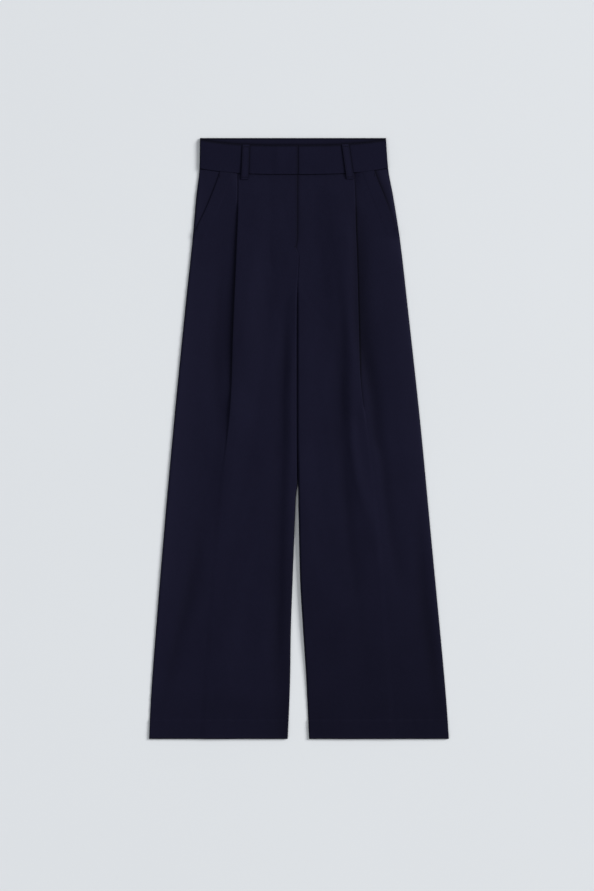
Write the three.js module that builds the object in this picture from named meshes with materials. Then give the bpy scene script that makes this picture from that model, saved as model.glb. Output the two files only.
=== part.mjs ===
// Wide-leg trousers with a pleated front, laid flat on their back, in millimetres.
// X runs across the garment, +Y towards the waist and +Z up from the surface that it lies on.
// The origin is the middle of the underside. "Drop" is a distance down from the waist's top edge.
// "right" and "left" are the wearer's, so right is at -X and left is at +X.
import * as THREE from "three";

// Driving sizes.
const LENGTH = 1082;
const CLOTH = 1;
const AIR = 1.1;
const SEAM_GAP = 0.3;
const CENTRE_X = -2;

// Waistband: two layers of cloth with interfacing, fastened right over left.
const BAND_HEIGHT = 52;
const BAND_THICK = 1.8;
const BAND_MIDDLE_X = -11;
const BAND_HALF_WIDTH = 167;
const BAND_TOP_AT_SIDE = 3;
const BAND_DIP = 10.5;
const UNDERLAP = 30;
const UNDERLAP_THICK = 1;

// Belt loops.
const LOOP_WIDTH = 12;
const LOOP_THICK = 1.1;
const LOOP_LENGTH = 61;
const LOOP_RISE = 0.5;
const LOOPS_IN_FRONT = [
  { name: "belt_loop_front_right", topX: -93.5, footX: -96.5 },
  { name: "belt_loop_front_left", topX: 84, footX: 92 },
];
const LOOPS_BEHIND = [
  { name: "belt_loop_back_right", x: -112 },
  { name: "belt_loop_back_centre", x: -2 },
  { name: "belt_loop_back_left", x: 96 },
];

// Legs: cut, hem and crotch.
const HEM_DEPTH = 25;
const HEM_THICK = 1.7;
const HEM_STEP = 6;
const CROTCH_FROM = 245;
const CROTCH_TO = 272;
const SEAT_LIFT = 0.3;
const SEAT_LIFT_LENGTH = 45;
const FRONT_SEAM_LIFT = 1.8;
const FRONT_SEAM_LIFT_LENGTH = 44;

// Fly: the right front laps over an extension of the left front.
const FLY_WIDTH = 30;
const FLY_LAP = 1.3;
const FLY_FROM = 186;
const FLY_TO = 214;

// Slanted pocket: the front is cut away over a hip piece that carries on to the side seam.
// The left side seam is turned a little to the back, so less of its hip piece shows.
const POCKETS = {
  right: { width: 35, bow: 3 },
  left: { width: 22, bow: 1 },
};
const POCKET_END = 176;
const POCKET_LAP = 12;
const POCKET_STEP = 1.35;
const POCKET_CLOSE = 12;

// Pleats: the cloth folds back under itself by "depth" and opens out further down.
const FOLD_RADIUS = 0.75;
const PLEAT_RAMP = 26;

// Side edges of the garment, as distances from the middle of its box.
const SIDE_EDGES = [
  { drop: 0, right: 178.5, left: 156.5 },
  { drop: 58, right: 179.5, left: 161 },
  { drop: 104, right: 185, left: 169.5 },
  { drop: 184, right: 192, left: 182 },
  { drop: 292, right: 203.5, left: 194.5 },
  { drop: 508, right: 225, left: 218 },
  { drop: 724, right: 244.5, left: 238.5 },
  { drop: 940, right: 262, left: 259 },
  { drop: 1022, right: 267.5, left: 266 },
  { drop: LENGTH, right: 270, left: 270 },
];

// How far each leg's inner edge lies from the centre seam.
const INNER_EDGES = [
  { drop: 0, right: 0.15, left: 0.15 },
  { drop: 272, right: 0.4, left: 0.4 },
  { drop: 630, right: 2.2, left: 0.6 },
  { drop: 832, right: 9.7, left: 6 },
  { drop: 940, right: 12.4, left: 13.2 },
  { drop: 1022, right: 14.6, left: 17.7 },
  { drop: LENGTH, right: 18.2, left: 20.4 },
];

// Pleats: the fold's distance from the middle of the box, how far the cloth goes back under it,
// and how far the cloth turns at each bend, as a share of half a turn.
const PLEATS = [
  { drop: 60, right: 110, left: 99, depth: 26, turnRight: 1, turnLeft: 1 },
  { drop: 112, right: 110.5, left: 101.5, depth: 25, turnRight: 1, turnLeft: 1 },
  { drop: 202, right: 115, left: 104.8, depth: 21, turnRight: 1, turnLeft: 1 },
  { drop: 346, right: 121.5, left: 107, depth: 11, turnRight: 1, turnLeft: 1 },
  { drop: 446, right: 124.5, left: 112.3, depth: 3, turnRight: 1, turnLeft: 0.9 },
  { drop: 502, right: 127, left: 118, depth: 0.8, turnRight: 0.85, turnLeft: 0.55 },
  { drop: 560, right: 131, left: 124, depth: 0.4, turnRight: 0.5, turnLeft: 0.25 },
  { drop: 640, right: 140, left: 132, depth: 1.5, turnRight: 0.2, turnLeft: 0.1 },
  { drop: 700, right: 146, left: 138, depth: 4, turnRight: 0.07, turnLeft: 0.05 },
  { drop: LENGTH, right: 170, left: 165, depth: 6, turnRight: 0.03, turnLeft: 0.03 },
];

// Soft folds of the fronts: each runs down the cloth from one point to another, as x and drop.
// Width is half the fold's width, height is negative for a trough, and bow bends its middle sideways.
const PUFF = 1.5;
const FOLDS = [
  { x0: -172, drop0: 200, x1: -214, drop1: 760, bow: 0, width: 24, height: 1.3 },
  { x0: -116, drop0: 330, x1: -119, drop1: 700, bow: 6, width: 11, height: 0.9 },
  { x0: -21, drop0: 285, x1: -41, drop1: 1082, bow: 1, width: 9, height: -1.5 },
  { x0: -12, drop0: 320, x1: -16, drop1: 620, bow: 0, width: 6, height: 0.6 },
  { x0: -172, drop0: 715, x1: -229, drop1: 1000, bow: -9, width: 13, height: -1.1 },
  { x0: -112, drop0: 800, x1: -150, drop1: 1075, bow: 0, width: 26, height: 0.8 },
  { x0: 74, drop0: 200, x1: 106, drop1: 850, bow: -7, width: 10, height: -1.5 },
  { x0: 24, drop0: 250, x1: 28, drop1: 740, bow: 0, width: 20, height: 1.1 },
  { x0: 100, drop0: 380, x1: 172, drop1: 850, bow: -6, width: 13, height: 1.2 },
  { x0: 119, drop0: 230, x1: 169, drop1: 720, bow: -2, width: 9, height: -1.4 },
  { x0: 160, drop0: 260, x1: 196, drop1: 640, bow: 0, width: 16, height: 0.8 },
  { x0: 218, drop0: 740, x1: 252, drop1: 1010, bow: 0, width: 12, height: -1.0 },
  { x0: 60, drop0: 860, x1: 80, drop1: 1080, bow: 0, width: 24, height: 0.6 },
];
const EDGE_FADE = 16;
const HIP_FADE = 60;
const SEAM_FADE = 36;

// Rows of cloth along the legs: stretches of drop, and the steps in each.
const FRONT_ROWS = [
  { to: 110, steps: 3 },
  { to: POCKET_END - POCKET_CLOSE, steps: 3 },
  { to: POCKET_END, steps: 2 },
  { to: FLY_TO, steps: 4 },
  { to: CROTCH_FROM, steps: 1 },
  { to: CROTCH_TO, steps: 2 },
  { to: 446, steps: 4 },
  { to: 640, steps: 7 },
  { to: LENGTH - HEM_DEPTH - HEM_STEP, steps: 6 },
  { to: LENGTH - HEM_DEPTH, steps: 1 },
  { to: LENGTH, steps: 1 },
];
const BACK_ROWS = [
  { to: 110, steps: 3 },
  { to: CROTCH_FROM, steps: 3 },
  { to: CROTCH_TO, steps: 2 },
  { to: LENGTH - HEM_DEPTH - HEM_STEP, steps: 7 },
  { to: LENGTH - HEM_DEPTH, steps: 1 },
  { to: LENGTH, steps: 1 },
];
const CURL_STEPS = 3;
const CURL_TAIL = 0.2;
const TURN_STEPS = 3;
const MIDDLE_STEPS = 2;
const TOP_STEPS = 8;
const UNDER_STEPS = 2;
const OUTER_STEPS = 6;

const SIDES = [
  { name: "right", sign: -1 },
  { name: "left", sign: 1 },
];

const navy = (name, colour) =>
  new THREE.MeshStandardMaterial({ name, color: colour, roughness: 0.9, metalness: 0 });
const SUITING = navy("suiting", 0x191a2b);
const BAND_CLOTH = navy("waistband", 0x181929);

const mix = (a, b, t) => a + (b - a) * t;
const clamp = (t) => Math.min(1, Math.max(0, t));
const smooth = (t) => clamp(t) ** 2 * (3 - 2 * clamp(t));

// Reads one column of a table at a drop, along a smooth curve through its rows.
function read(table, column, drop) {
  const last = table.length - 1;
  let k = 0;
  while (k < last - 1 && table[k + 1].drop < drop) k++;
  const [a, b] = [table[k], table[k + 1]];
  const slope = (i) => {
    const [p, q] = [table[Math.max(i - 1, 0)], table[Math.min(i + 1, last)]];
    return (q[column] - p[column]) / (q.drop - p.drop);
  };
  const span = b.drop - a.drop;
  const t = clamp((drop - a.drop) / span);
  const [t2, t3] = [t * t, t * t * t];
  return (
    (2 * t3 - 3 * t2 + 1) * a[column] + (t3 - 2 * t2 + t) * span * slope(k) +
    (3 * t2 - 2 * t3) * b[column] + (t3 - t2) * span * slope(k + 1)
  );
}

// The dipping top edge of the front waistband, and its lower seam.
const bandTop = (x) => {
  const t = clamp(Math.abs(x - BAND_MIDDLE_X) / BAND_HALF_WIDTH);
  return BAND_TOP_AT_SIDE + BAND_DIP * (1 - t ** 3);
};
const bandSeam = (x) => bandTop(x) + BAND_HEIGHT;
const SEAM_AT_SIDE = BAND_TOP_AT_SIDE + BAND_HEIGHT;
const PANEL_TOP = SEAM_AT_SIDE + SEAM_GAP;

// How far down a row of the front lies at a given x: the rows bend up to follow the waistband.
const dropAt = (x, sideDrop) => {
  const share = (LENGTH - sideDrop) / (LENGTH - PANEL_TOP);
  return LENGTH - share * (LENGTH - bandSeam(x) - SEAM_GAP);
};

// Cloth thickness and the heights of the two layers' middles at a drop.
function levels(drop) {
  const hem = clamp((drop - (LENGTH - HEM_DEPTH - HEM_STEP)) / HEM_STEP);
  const thick = mix(CLOTH, HEM_THICK, hem);
  const lift = SEAT_LIFT * (1 - smooth((drop - PANEL_TOP) / SEAT_LIFT_LENGTH));
  const back = thick / 2 + lift;
  return { thick, back, front: back + thick + AIR };
}
const curlRadius = (level) => (level.front - level.back - SEAM_GAP) / 2 - CURL_TAIL;

const sideEdge = (side, drop) => read(SIDE_EDGES, side.name, drop);
// The inner edge as a distance from the middle of the box, on that side.
const innerEdge = (side, drop) => side.sign * CENTRE_X + read(INNER_EDGES, side.name, drop);
const curled = (drop) => smooth((drop - CROTCH_FROM) / (CROTCH_TO - CROTCH_FROM));

// The slanted pocket edge: from the waistband out to the side seam, slightly bowed.
function pocketEdge(side, drop) {
  const { width, bow } = POCKETS[side.name];
  const t = clamp((drop - PANEL_TOP) / (POCKET_END - PANEL_TOP));
  return sideEdge(side, drop) - width * (1 - t) - bow * Math.sin(Math.PI * t);
}

// Height of the soft folds above the flat cloth, which dies away at the cloth's edges.
function relief(side, out, drop) {
  const x = side.sign * out;
  let height = PUFF;
  for (const f of FOLDS) {
    const t = (drop - f.drop0) / (f.drop1 - f.drop0);
    if (t <= 0 || t >= 1) continue;
    const middle = mix(f.x0, f.x1, t) + f.bow * 4 * t * (1 - t);
    const ends = smooth(4 * t) * smooth(4 * (1 - t));
    height += f.height * ends * Math.exp(-(((x - middle) / f.width) ** 2));
  }
  const sideFade = mix(HIP_FADE, EDGE_FADE, smooth((drop - POCKET_END) / 60));
  const edges =
    smooth((out - innerEdge(side, drop) - 2) / EDGE_FADE) *
    smooth((sideEdge(side, drop) - out) / sideFade);
  return Math.max(0, height) * edges * smooth((drop - bandSeam(x)) / SEAM_FADE);
}

// How much the cloth of the front rises towards the waistband's seam.
const seamLift = (side, out, drop) =>
  FRONT_SEAM_LIFT *
  (1 - smooth((drop - bandSeam(side.sign * out)) / FRONT_SEAM_LIFT_LENGTH)) *
  smooth((sideEdge(side, drop) - out) / EDGE_FADE);

// How much of that rise the cloth beyond the pleat takes, at a distance from the fold.
const beyondPleat = (distance) => smooth(distance / 12);

// A curled edge with a short straight tail, as steps outward and downward from the flat cloth.
// Its share is 1 where it turns down fully, and its steps are longer where it stays flat.
function curl(share, radius) {
  const stretch = 1 + 1.5 * (1 - share) ** 2;
  const length = ((radius * Math.PI) / 2) * stretch;
  const angle = (share * Math.PI) / 2;
  const steps = Array.from({ length: CURL_STEPS }, (_, i) => {
    const along = (length * (i + 1)) / CURL_STEPS;
    if (angle < 0.01) return { out: along, down: 0 };
    const bend = length / angle;
    const turned = along / bend;
    return { out: bend * Math.sin(turned), down: bend * (1 - Math.cos(turned)) };
  });
  const { out, down } = steps.at(-1);
  const tail = CURL_TAIL * stretch;
  steps.push({ out: out + tail * Math.cos(angle), down: down + tail * Math.sin(angle) });
  return steps;
}

// The pleat in section: the cloth bends down, runs on by the pleat's depth and bends back.
// At a full turn it lies back under itself, and as the turn lessens it becomes a soft step.
function pleatFold(depth, turn) {
  const angle = Math.PI * turn;
  const radius = FOLD_RADIUS / turn;
  const bend = (t) => ({
    out: radius * Math.sin(angle * t),
    height: -radius * (1 - Math.cos(angle * t)),
  });
  const points = [];
  for (let i = 0; i <= TURN_STEPS; i++) points.push(bend(i / TURN_STEPS));
  const edge = points.at(-1);
  for (let i = 1; i < MIDDLE_STEPS; i++) {
    const along = (depth * i) / MIDDLE_STEPS;
    points.push({
      out: edge.out + along * Math.cos(angle),
      height: edge.height - along * Math.sin(angle),
    });
  }
  const end = {
    out: 2 * edge.out + depth * Math.cos(angle),
    height: 2 * edge.height - depth * Math.sin(angle),
  };
  for (let i = TURN_STEPS; i >= 0; i--) {
    const back = bend(i / TURN_STEPS);
    points.push({ out: end.out - back.out, height: end.height - back.height });
  }
  return points;
}

// One row of a front: points from the centre edge to the side or pocket edge, as x, y and z.
function frontSection(side, sideDrop, extended) {
  const level = levels(sideDrop);
  const centreDrop = dropAt(CENTRE_X, sideDrop);
  const flyShare = 1 - smooth((centreDrop - FLY_FROM) / (FLY_TO - FLY_FROM));
  const lapShare = 1 - smooth((centreDrop - FLY_TO) / (CROTCH_FROM - FLY_TO));
  const extension = extended ? (FLY_WIDTH + SEAM_GAP) * flyShare : 0;
  const inner = innerEdge(side, centreDrop) - extension;
  const innerCurl = curl(curled(centreDrop), curlRadius(level));
  const closed = clamp((sideDrop - POCKET_END + POCKET_CLOSE) / POCKET_CLOSE);
  const outer = pocketEdge(side, sideDrop);
  const outerCurl = curl(closed, curlRadius(level));

  const fold = read(PLEATS, side.name, sideDrop);
  const turn = Math.min(1, read(PLEATS, side.name === "right" ? "turnRight" : "turnLeft", sideDrop));
  const pleat = pleatFold(read(PLEATS, "depth", sideDrop), turn);
  const stack = -pleat.at(-1).height;
  const foldStart = fold - FOLD_RADIUS;
  const foldEnd = foldStart + pleat.at(-1).out;

  const edgeHalf = (share) => (level.thick / 2) * Math.sin((share * Math.PI) / 2);
  const innerStart = inner + innerCurl.at(-1).out + edgeHalf(curled(centreDrop));
  const outerStart = outer - outerCurl.at(-1).out - edgeHalf(closed);

  // Rises over the pleat's hidden layers, over the fly's extension and over the pocket's hip piece.
  const rampEnd = Math.min(foldStart, foldEnd) - 2;
  const overPleat = (out) => stack * smooth((out - rampEnd + PLEAT_RAMP) / PLEAT_RAMP);
  const overFly = (out) =>
    extended ? 0 : FLY_LAP * lapShare * (1 - smooth((out - inner - FLY_WIDTH - 3) / 14));
  const knee = Math.max(fold + 1, foldEnd + 3);
  const hipStart = outer - POCKET_LAP - 2;
  const overHip = (out) =>
    POCKET_STEP * (1 - closed) * smooth((out - knee) / (hipStart - knee));

  const points = [];
  const add = (out, height, lifted) => {
    const drop = dropAt(side.sign * out, sideDrop);
    const z = level.front + height + relief(side, out, drop) + lifted * seamLift(side, out, drop);
    points.push(new THREE.Vector3(side.sign * out, LENGTH / 2 - drop, z));
  };
  for (const step of [...innerCurl].reverse()) {
    const out = innerStart - step.out;
    add(out, overFly(out) - step.down, 1);
  }
  const topStart = extended ? Math.max(innerEdge(side, centreDrop) + 1.5, innerStart + 3) : innerStart;
  if (extended) add(innerStart, 0, 1);
  for (let i = 0; i < TOP_STEPS; i++) {
    const out = mix(topStart, foldStart, i / TOP_STEPS);
    const rise = overPleat(out);
    add(out, Math.max(rise, overFly(out)), 1 - rise / Math.max(stack, 0.01));
  }
  for (const step of pleat) {
    add(foldStart + step.out, stack + step.height, 0);
  }
  for (let i = 1; i <= UNDER_STEPS; i++) add(mix(foldEnd, knee, i / UNDER_STEPS), 0, 0);
  for (let i = 1; i <= OUTER_STEPS; i++) {
    const out = mix(knee, outerStart, i / OUTER_STEPS);
    add(out, overHip(out), beyondPleat(out - knee));
  }
  for (const step of outerCurl) {
    const out = outerStart + step.out;
    add(out, overHip(out) - step.down, 1);
  }
  return points;
}

// One row of a back: flat on the surface, with its edges curled up to the seams.
function backSection(side, drop) {
  const level = levels(drop);
  const radius = curlRadius(level);
  const innerCurl = curl(curled(drop), radius);
  const outerCurl = curl(1, radius);
  const half = (share) => (level.thick / 2) * Math.sin((share * Math.PI) / 2);
  const start = innerEdge(side, drop) + innerCurl.at(-1).out + half(curled(drop));
  const end = sideEdge(side, drop) - outerCurl.at(-1).out - half(1);
  const steps = 4;
  const flat = Array.from({ length: steps + 1 }, (_, i) => ({ out: mix(start, end, i / steps), up: 0 }));
  const row = [
    ...[...innerCurl].reverse().map((s) => ({ out: start - s.out, up: s.down })),
    ...flat,
    ...outerCurl.map((s) => ({ out: end + s.out, up: s.down })),
  ];
  return row.map((p) => new THREE.Vector3(side.sign * p.out, LENGTH / 2 - drop, level.back + p.up));
}

// One row of the hip piece behind a pocket's opening: under the front, then out to the side seam.
function hipSection(side, sideDrop) {
  const level = levels(sideDrop);
  const outerCurl = curl(1, curlRadius(level));
  const fold = read(PLEATS, side.name, sideDrop);
  const start = pocketEdge(side, sideDrop) - POCKET_LAP;
  const end = sideEdge(side, sideDrop) - outerCurl.at(-1).out - level.thick / 2;
  const steps = 5;
  const row = Array.from({ length: steps + 1 }, (_, i) => ({ out: mix(start, end, i / steps), down: 0 }));
  for (const s of outerCurl) row.push({ out: end + s.out, down: s.down });
  return row.map(({ out, down }) => {
    const drop = dropAt(side.sign * out, sideDrop);
    const lift = seamLift(side, out, drop) * beyondPleat(out - fold - 1);
    const z = level.front - down + relief(side, out, drop) + lift;
    return new THREE.Vector3(side.sign * out, LENGTH / 2 - drop, z);
  });
}

// The drops of a panel's rows.
function rowsOf(stretches, top) {
  const drops = [top];
  for (const { to, steps } of stretches) {
    const from = drops.at(-1);
    for (let i = 1; i <= steps; i++) drops.push(mix(from, to, i / steps));
  }
  return drops;
}

// The direction of a line of points at one of them, halfway between its two neighbours' directions.
function heading(before, here, after) {
  const direction = new THREE.Vector3();
  if (before) direction.add(here.clone().sub(before).normalize());
  if (after) direction.add(after.clone().sub(here).normalize());
  return direction.normalize();
}

// A closed wall through rows of points down the middle of the cloth, with a thickness at each point.
function wall(rows, thickAt) {
  const [m, n] = [rows.length, rows[0].length];
  const positions = [];
  for (const face of [1, -1]) {
    for (let j = 0; j < m; j++) {
      for (let i = 0; i < n; i++) {
        const p0 = rows[j][i];
        const across = heading(rows[j][i - 1], p0, rows[j][i + 1]);
        const along = heading(rows[j - 1]?.[i], p0, rows[j + 1]?.[i]);
        const normal = across.cross(along).normalize();
        const p = p0.clone().addScaledVector(normal, (face * thickAt(i, j)) / 2);
        positions.push(p.x, p.y, p.z);
      }
    }
  }
  const at = (face, j, i) => face * m * n + j * n + i;
  const triangles = [];
  const quad = (a, b, c, d) => triangles.push(a, b, c, a, c, d);
  for (let j = 0; j < m - 1; j++) {
    for (let i = 0; i < n - 1; i++) {
      quad(at(0, j, i), at(0, j, i + 1), at(0, j + 1, i + 1), at(0, j + 1, i));
      quad(at(1, j, i), at(1, j + 1, i), at(1, j + 1, i + 1), at(1, j, i + 1));
    }
  }
  for (let i = 0; i < n - 1; i++) {
    quad(at(0, 0, i), at(1, 0, i), at(1, 0, i + 1), at(0, 0, i + 1));
    quad(at(0, m - 1, i), at(0, m - 1, i + 1), at(1, m - 1, i + 1), at(1, m - 1, i));
  }
  for (let j = 0; j < m - 1; j++) {
    quad(at(0, j, 0), at(0, j + 1, 0), at(1, j + 1, 0), at(1, j, 0));
    quad(at(1, j, n - 1), at(1, j + 1, n - 1), at(0, j + 1, n - 1), at(0, j, n - 1));
  }
  const geometry = new THREE.BufferGeometry();
  geometry.setAttribute("position", new THREE.Float32BufferAttribute(positions, 3));
  geometry.setIndex(triangles);
  if (volumeOf(geometry) < 0) geometry.setIndex(triangles.reverse());
  geometry.computeVertexNormals();
  return geometry;
}

function volumeOf(geometry) {
  const p = geometry.getAttribute("position");
  const corner = (k) => new THREE.Vector3().fromBufferAttribute(p, geometry.index.getX(k));
  let six = 0;
  for (let k = 0; k < geometry.index.count; k += 3) {
    six += corner(k).dot(corner(k + 1).cross(corner(k + 2)));
  }
  return six / 6;
}

function piece(name, geometry, material) {
  const mesh = new THREE.Mesh(geometry, material);
  mesh.name = name;
  return mesh;
}

function frontLeg(side) {
  const drops = rowsOf(FRONT_ROWS, PANEL_TOP);
  const extended = side.name === "left";
  const rows = drops.map((drop) => frontSection(side, drop, extended));
  return piece(`front_leg_${side.name}`, wall(rows, (i, j) => levels(drops[j]).thick), SUITING);
}

function backLeg(side) {
  const drops = rowsOf(BACK_ROWS, PANEL_TOP);
  const rows = drops.map((drop) => backSection(side, drop));
  return piece(`back_leg_${side.name}`, wall(rows, (i, j) => levels(drops[j]).thick), SUITING);
}

function hipPiece(side) {
  const steps = 6;
  const end = POCKET_END - POCKET_CLOSE - 1;
  const drops = Array.from({ length: steps + 1 }, (_, i) => mix(PANEL_TOP, end, i / steps));
  const rows = drops.map((drop) => hipSection(side, drop));
  return piece(`pocket_hip_${side.name}`, wall(rows, () => CLOTH), SUITING);
}

// Heights of the waistband's two layers: the back one lies on the back belt loops.
const BAND_BACK = LOOP_THICK + SEAM_GAP + BAND_THICK / 2;
const BAND_FRONT = BAND_BACK + BAND_THICK + AIR;
const BAND_CURL = (BAND_FRONT - BAND_BACK - SEAM_GAP) / 2 - CURL_TAIL;

// A front waistband from the centre to its side seam. The left one carries on under the right one.
function frontBand(side) {
  const extended = side.name === "left";
  const across = 10;
  const down = 3;
  const centre = side.sign * CENTRE_X;
  const inner = centre + SEAM_GAP / 2;
  const steps = [];
  if (extended) {
    for (const share of [1, 0.5, 0]) {
      steps.push({ out: centre - UNDERLAP * share, thick: UNDERLAP_THICK });
    }
  }
  const flatStart = extended ? inner + 2 : inner;
  for (let i = 0; i <= across; i++) steps.push({ share: i / across, thick: BAND_THICK });
  const rows = [];
  const lower = (BAND_THICK - UNDERLAP_THICK) / 2;
  for (let j = 0; j <= down; j++) {
    const row = [];
    const put = (out, z) => {
      const x = side.sign * out;
      row.push(new THREE.Vector3(x, LENGTH / 2 - bandTop(x) - (BAND_HEIGHT * j) / down, z));
    };
    const sideDrop = BAND_TOP_AT_SIDE + (BAND_HEIGHT * j) / down;
    const outerCurl = curl(1, BAND_CURL);
    const end = sideEdge(side, sideDrop) - BAND_CURL - BAND_THICK / 2;
    for (const step of steps) {
      if (step.out !== undefined) {
        put(step.out, BAND_FRONT - lower);
        continue;
      }
      const out = mix(flatStart, end, step.share);
      const lap = UNDERLAP_THICK + SEAM_GAP;
      put(out, BAND_FRONT + (extended ? 0 : lap * (1 - smooth((out - inner - UNDERLAP - 3) / 18))));
    }
    for (const s of outerCurl) put(end + s.out, BAND_FRONT - s.down);
    rows.push(row);
  }
  const thicks = [...steps.map((s) => s.thick), ...Array(CURL_STEPS + 1).fill(BAND_THICK)];
  return piece(`waistband_front_${side.name}`, wall(rows, (i) => thicks[i]), BAND_CLOTH);
}

// The back waistband, in one piece from side seam to side seam.
function backBand() {
  const across = 10;
  const down = 3;
  const rows = [];
  for (let j = 0; j <= down; j++) {
    const drop = (SEAM_AT_SIDE * j) / down;
    const outerCurl = curl(1, BAND_CURL);
    const [right, left] = SIDES.map((side) => sideEdge(side, drop) - BAND_CURL - BAND_THICK / 2);
    const row = outerCurl.map((s) => [-right - s.out, BAND_BACK + s.down]).reverse();
    for (let i = 0; i <= across; i++) row.push([mix(-right, left, i / across), BAND_BACK]);
    for (const s of outerCurl) row.push([left + s.out, BAND_BACK + s.down]);
    rows.push(row.map(([x, z]) => new THREE.Vector3(x, LENGTH / 2 - drop, z)));
  }
  return piece("waistband_back", wall(rows, () => BAND_THICK), BAND_CLOTH);
}

// A belt loop in front: a strip down the waistband, raised a little between its sewn ends.
function frontLoop({ name, topX, footX }) {
  const steps = 6;
  const start = bandTop(topX) + 1;
  const surface = BAND_FRONT + BAND_THICK / 2 + SEAM_GAP;
  const rows = [];
  for (let j = 0; j <= steps; j++) {
    const t = j / steps;
    const x = mix(topX, footX, t);
    const z = surface + LOOP_THICK / 2 + LOOP_RISE * (Math.sin(Math.PI * t) + t);
    rows.push([-1, 0, 1].map((k) =>
      new THREE.Vector3(x + (k * LOOP_WIDTH) / 2, LENGTH / 2 - start - LOOP_LENGTH * t, z)));
  }
  return piece(name, wall(rows, () => LOOP_THICK), BAND_CLOTH);
}

// A belt loop behind: a flat strip between the waistband and the surface below.
function backLoop({ name, x }) {
  const rows = [0, 0.5, 1].map((t) => [-1, 0, 1].map((k) =>
    new THREE.Vector3(x + (k * LOOP_WIDTH) / 2, LENGTH / 2 - 1 - (SEAM_AT_SIDE - 3) * t, LOOP_THICK / 2)));
  return piece(name, wall(rows, () => LOOP_THICK), BAND_CLOTH);
}

const trousers = new THREE.Group();
trousers.name = "wide_leg_trousers";
for (const side of SIDES) {
  trousers.add(backLeg(side), hipPiece(side), frontLeg(side), frontBand(side));
}
trousers.add(backBand());
trousers.add(...LOOPS_IN_FRONT.map(frontLoop), ...LOOPS_BEHIND.map(backLoop));

export default trousers;
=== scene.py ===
import math
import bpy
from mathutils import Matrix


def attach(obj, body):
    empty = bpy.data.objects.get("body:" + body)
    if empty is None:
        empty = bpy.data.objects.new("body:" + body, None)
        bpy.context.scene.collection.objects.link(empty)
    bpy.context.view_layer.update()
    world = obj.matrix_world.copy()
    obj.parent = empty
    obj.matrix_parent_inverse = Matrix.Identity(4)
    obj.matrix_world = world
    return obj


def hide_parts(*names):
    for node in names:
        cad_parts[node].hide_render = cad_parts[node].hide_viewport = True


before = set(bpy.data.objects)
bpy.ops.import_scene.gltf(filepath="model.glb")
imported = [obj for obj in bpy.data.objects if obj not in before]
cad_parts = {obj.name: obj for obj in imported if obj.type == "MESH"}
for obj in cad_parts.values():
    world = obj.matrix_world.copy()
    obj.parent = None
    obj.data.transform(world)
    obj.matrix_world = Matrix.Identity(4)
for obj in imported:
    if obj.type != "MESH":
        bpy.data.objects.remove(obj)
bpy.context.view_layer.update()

from types import SimpleNamespace

import bpy
import numpy as np

# Wide-leg trousers laid flat on their back. Sizes are in millimetres unless a name says otherwise.
# X runs across, +Y towards the waist, +Z up. A drop is a distance down from the waist's top edge.
# The wearer's right is at -X and the wearer's left at +X. A share runs from 0 to 1.
MM = 0.001
LENGTH = 1082
CENTRE_X = -2
CLOTH = 0.9
LAYER_GAP = 0.2

# The air between back and front, which grows less towards the hem.
AIR = 1.2
HEM_AIR = 0.4
HEM_LOWERS_FROM = 800

BAND_HEIGHT = 52
BAND_THICK = 1.9
BAND_MIDDLE_X = -11
BAND_HALF_WIDTH = 167
BAND_TOP_AT_SIDE = 3
BAND_DIP = 10.5
BAND_BACK_LEVEL = 2.3
BAND_FRONT_LEVEL = 5.2
BAND_CURL = 1.2
BAND_CROWN = 0.35
UNDERLAP = 30
UNDERLAP_THICK = 1

LOOP_WIDTH = 13
LOOP_THICK = 1.3
LOOP_LENGTH = 62
LOOP_STITCH = 4.4
LOOP_BULGE = 0.7
LOOP_RISE = 0.45
FRONT_LOOPS = [
    {"name": "belt_loop_front_right", "top": -95, "foot": -97.4},
    {"name": "belt_loop_front_left", "top": 83.6, "foot": 92.4},
]
BACK_LOOP_FROM = 1
BACK_LOOP_LENGTH = 52
BACK_LOOPS = [
    {"name": "belt_loop_back_right", "x": -112},
    {"name": "belt_loop_back_centre", "x": -2},
    {"name": "belt_loop_back_left", "x": 96},
]

HEM_DEPTH = 34
HEM_LINE = LENGTH - HEM_DEPTH
HEM_THICK = 1.7
HEM_STEP = 3
CROTCH_FROM = 245
CROTCH_TO = 272
SEAT_LIFT = 0.3
SEAT_SEAM_X = -2.8
SEAT_LIFT_LENGTH = 45

# The waist seam: how the fronts rise to it, sink at it and go on out of sight under the waistband.
FRONT_SEAM_LIFT = 1.8
FRONT_SEAM_LIFT_LENGTH = 44
SIDE_LIFT_FADE = 18
TUCK = 3
TUCK_BETWEEN_LOOPS = 1.1
TUCK_BEYOND_LOOPS = 0.5
TUCK_FADE = 4.5
HIDDEN_TUCK = 1.05
HIDDEN_FROM = 0.8
HIDDEN_FADE = 1.8
LOOPS_MIDDLE_X = -6
LOOPS_HALF_SPAN = 92
LOOPS_FADE = 12

FLY_WIDTH = 30
FLY_LAP = 1.35
FLY_LAP_FADE = 40
FLY_EDGE_TURN = 0.45
FLY_FROM = 186
FLY_TO = 214

# The pockets: their openings, and how much painted shade falls inside and along the opening's edge.
POCKETS = {
    "right": {"width": 37, "bow": 4, "gape": 0.3, "inside": 0.6, "inside_reach": 1.6, "edge_shade": 0.35},
    "left": {"width": 25, "bow": 1, "gape": 0.9, "inside": 2.1, "inside_reach": 4, "edge_shade": 0.8},
}
POCKET_END = 176
POCKET_LAP = 12
POCKET_STEP = 1.3
POCKET_CLOSE = 10
POCKET_SETTLE = 75
POCKET_EDGE_EXTRA = 0.6
POCKET_EDGE_WIDTH = 22

PLEAT_RAMP = 50
PLEAT_LEAST_TURN = 0.02
PLEAT_LEAST_DEPTH = 0.3
FLAT_PLEAT_FROM = 106
FLAT_PLEAT_FADE = 18
CURL_RADIUS = 0.8
DART_LENGTH = 108
DART_LEAN = 4
DART_LIFT = 0.45
DART_X = {"right": 92, "left": 84}


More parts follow.
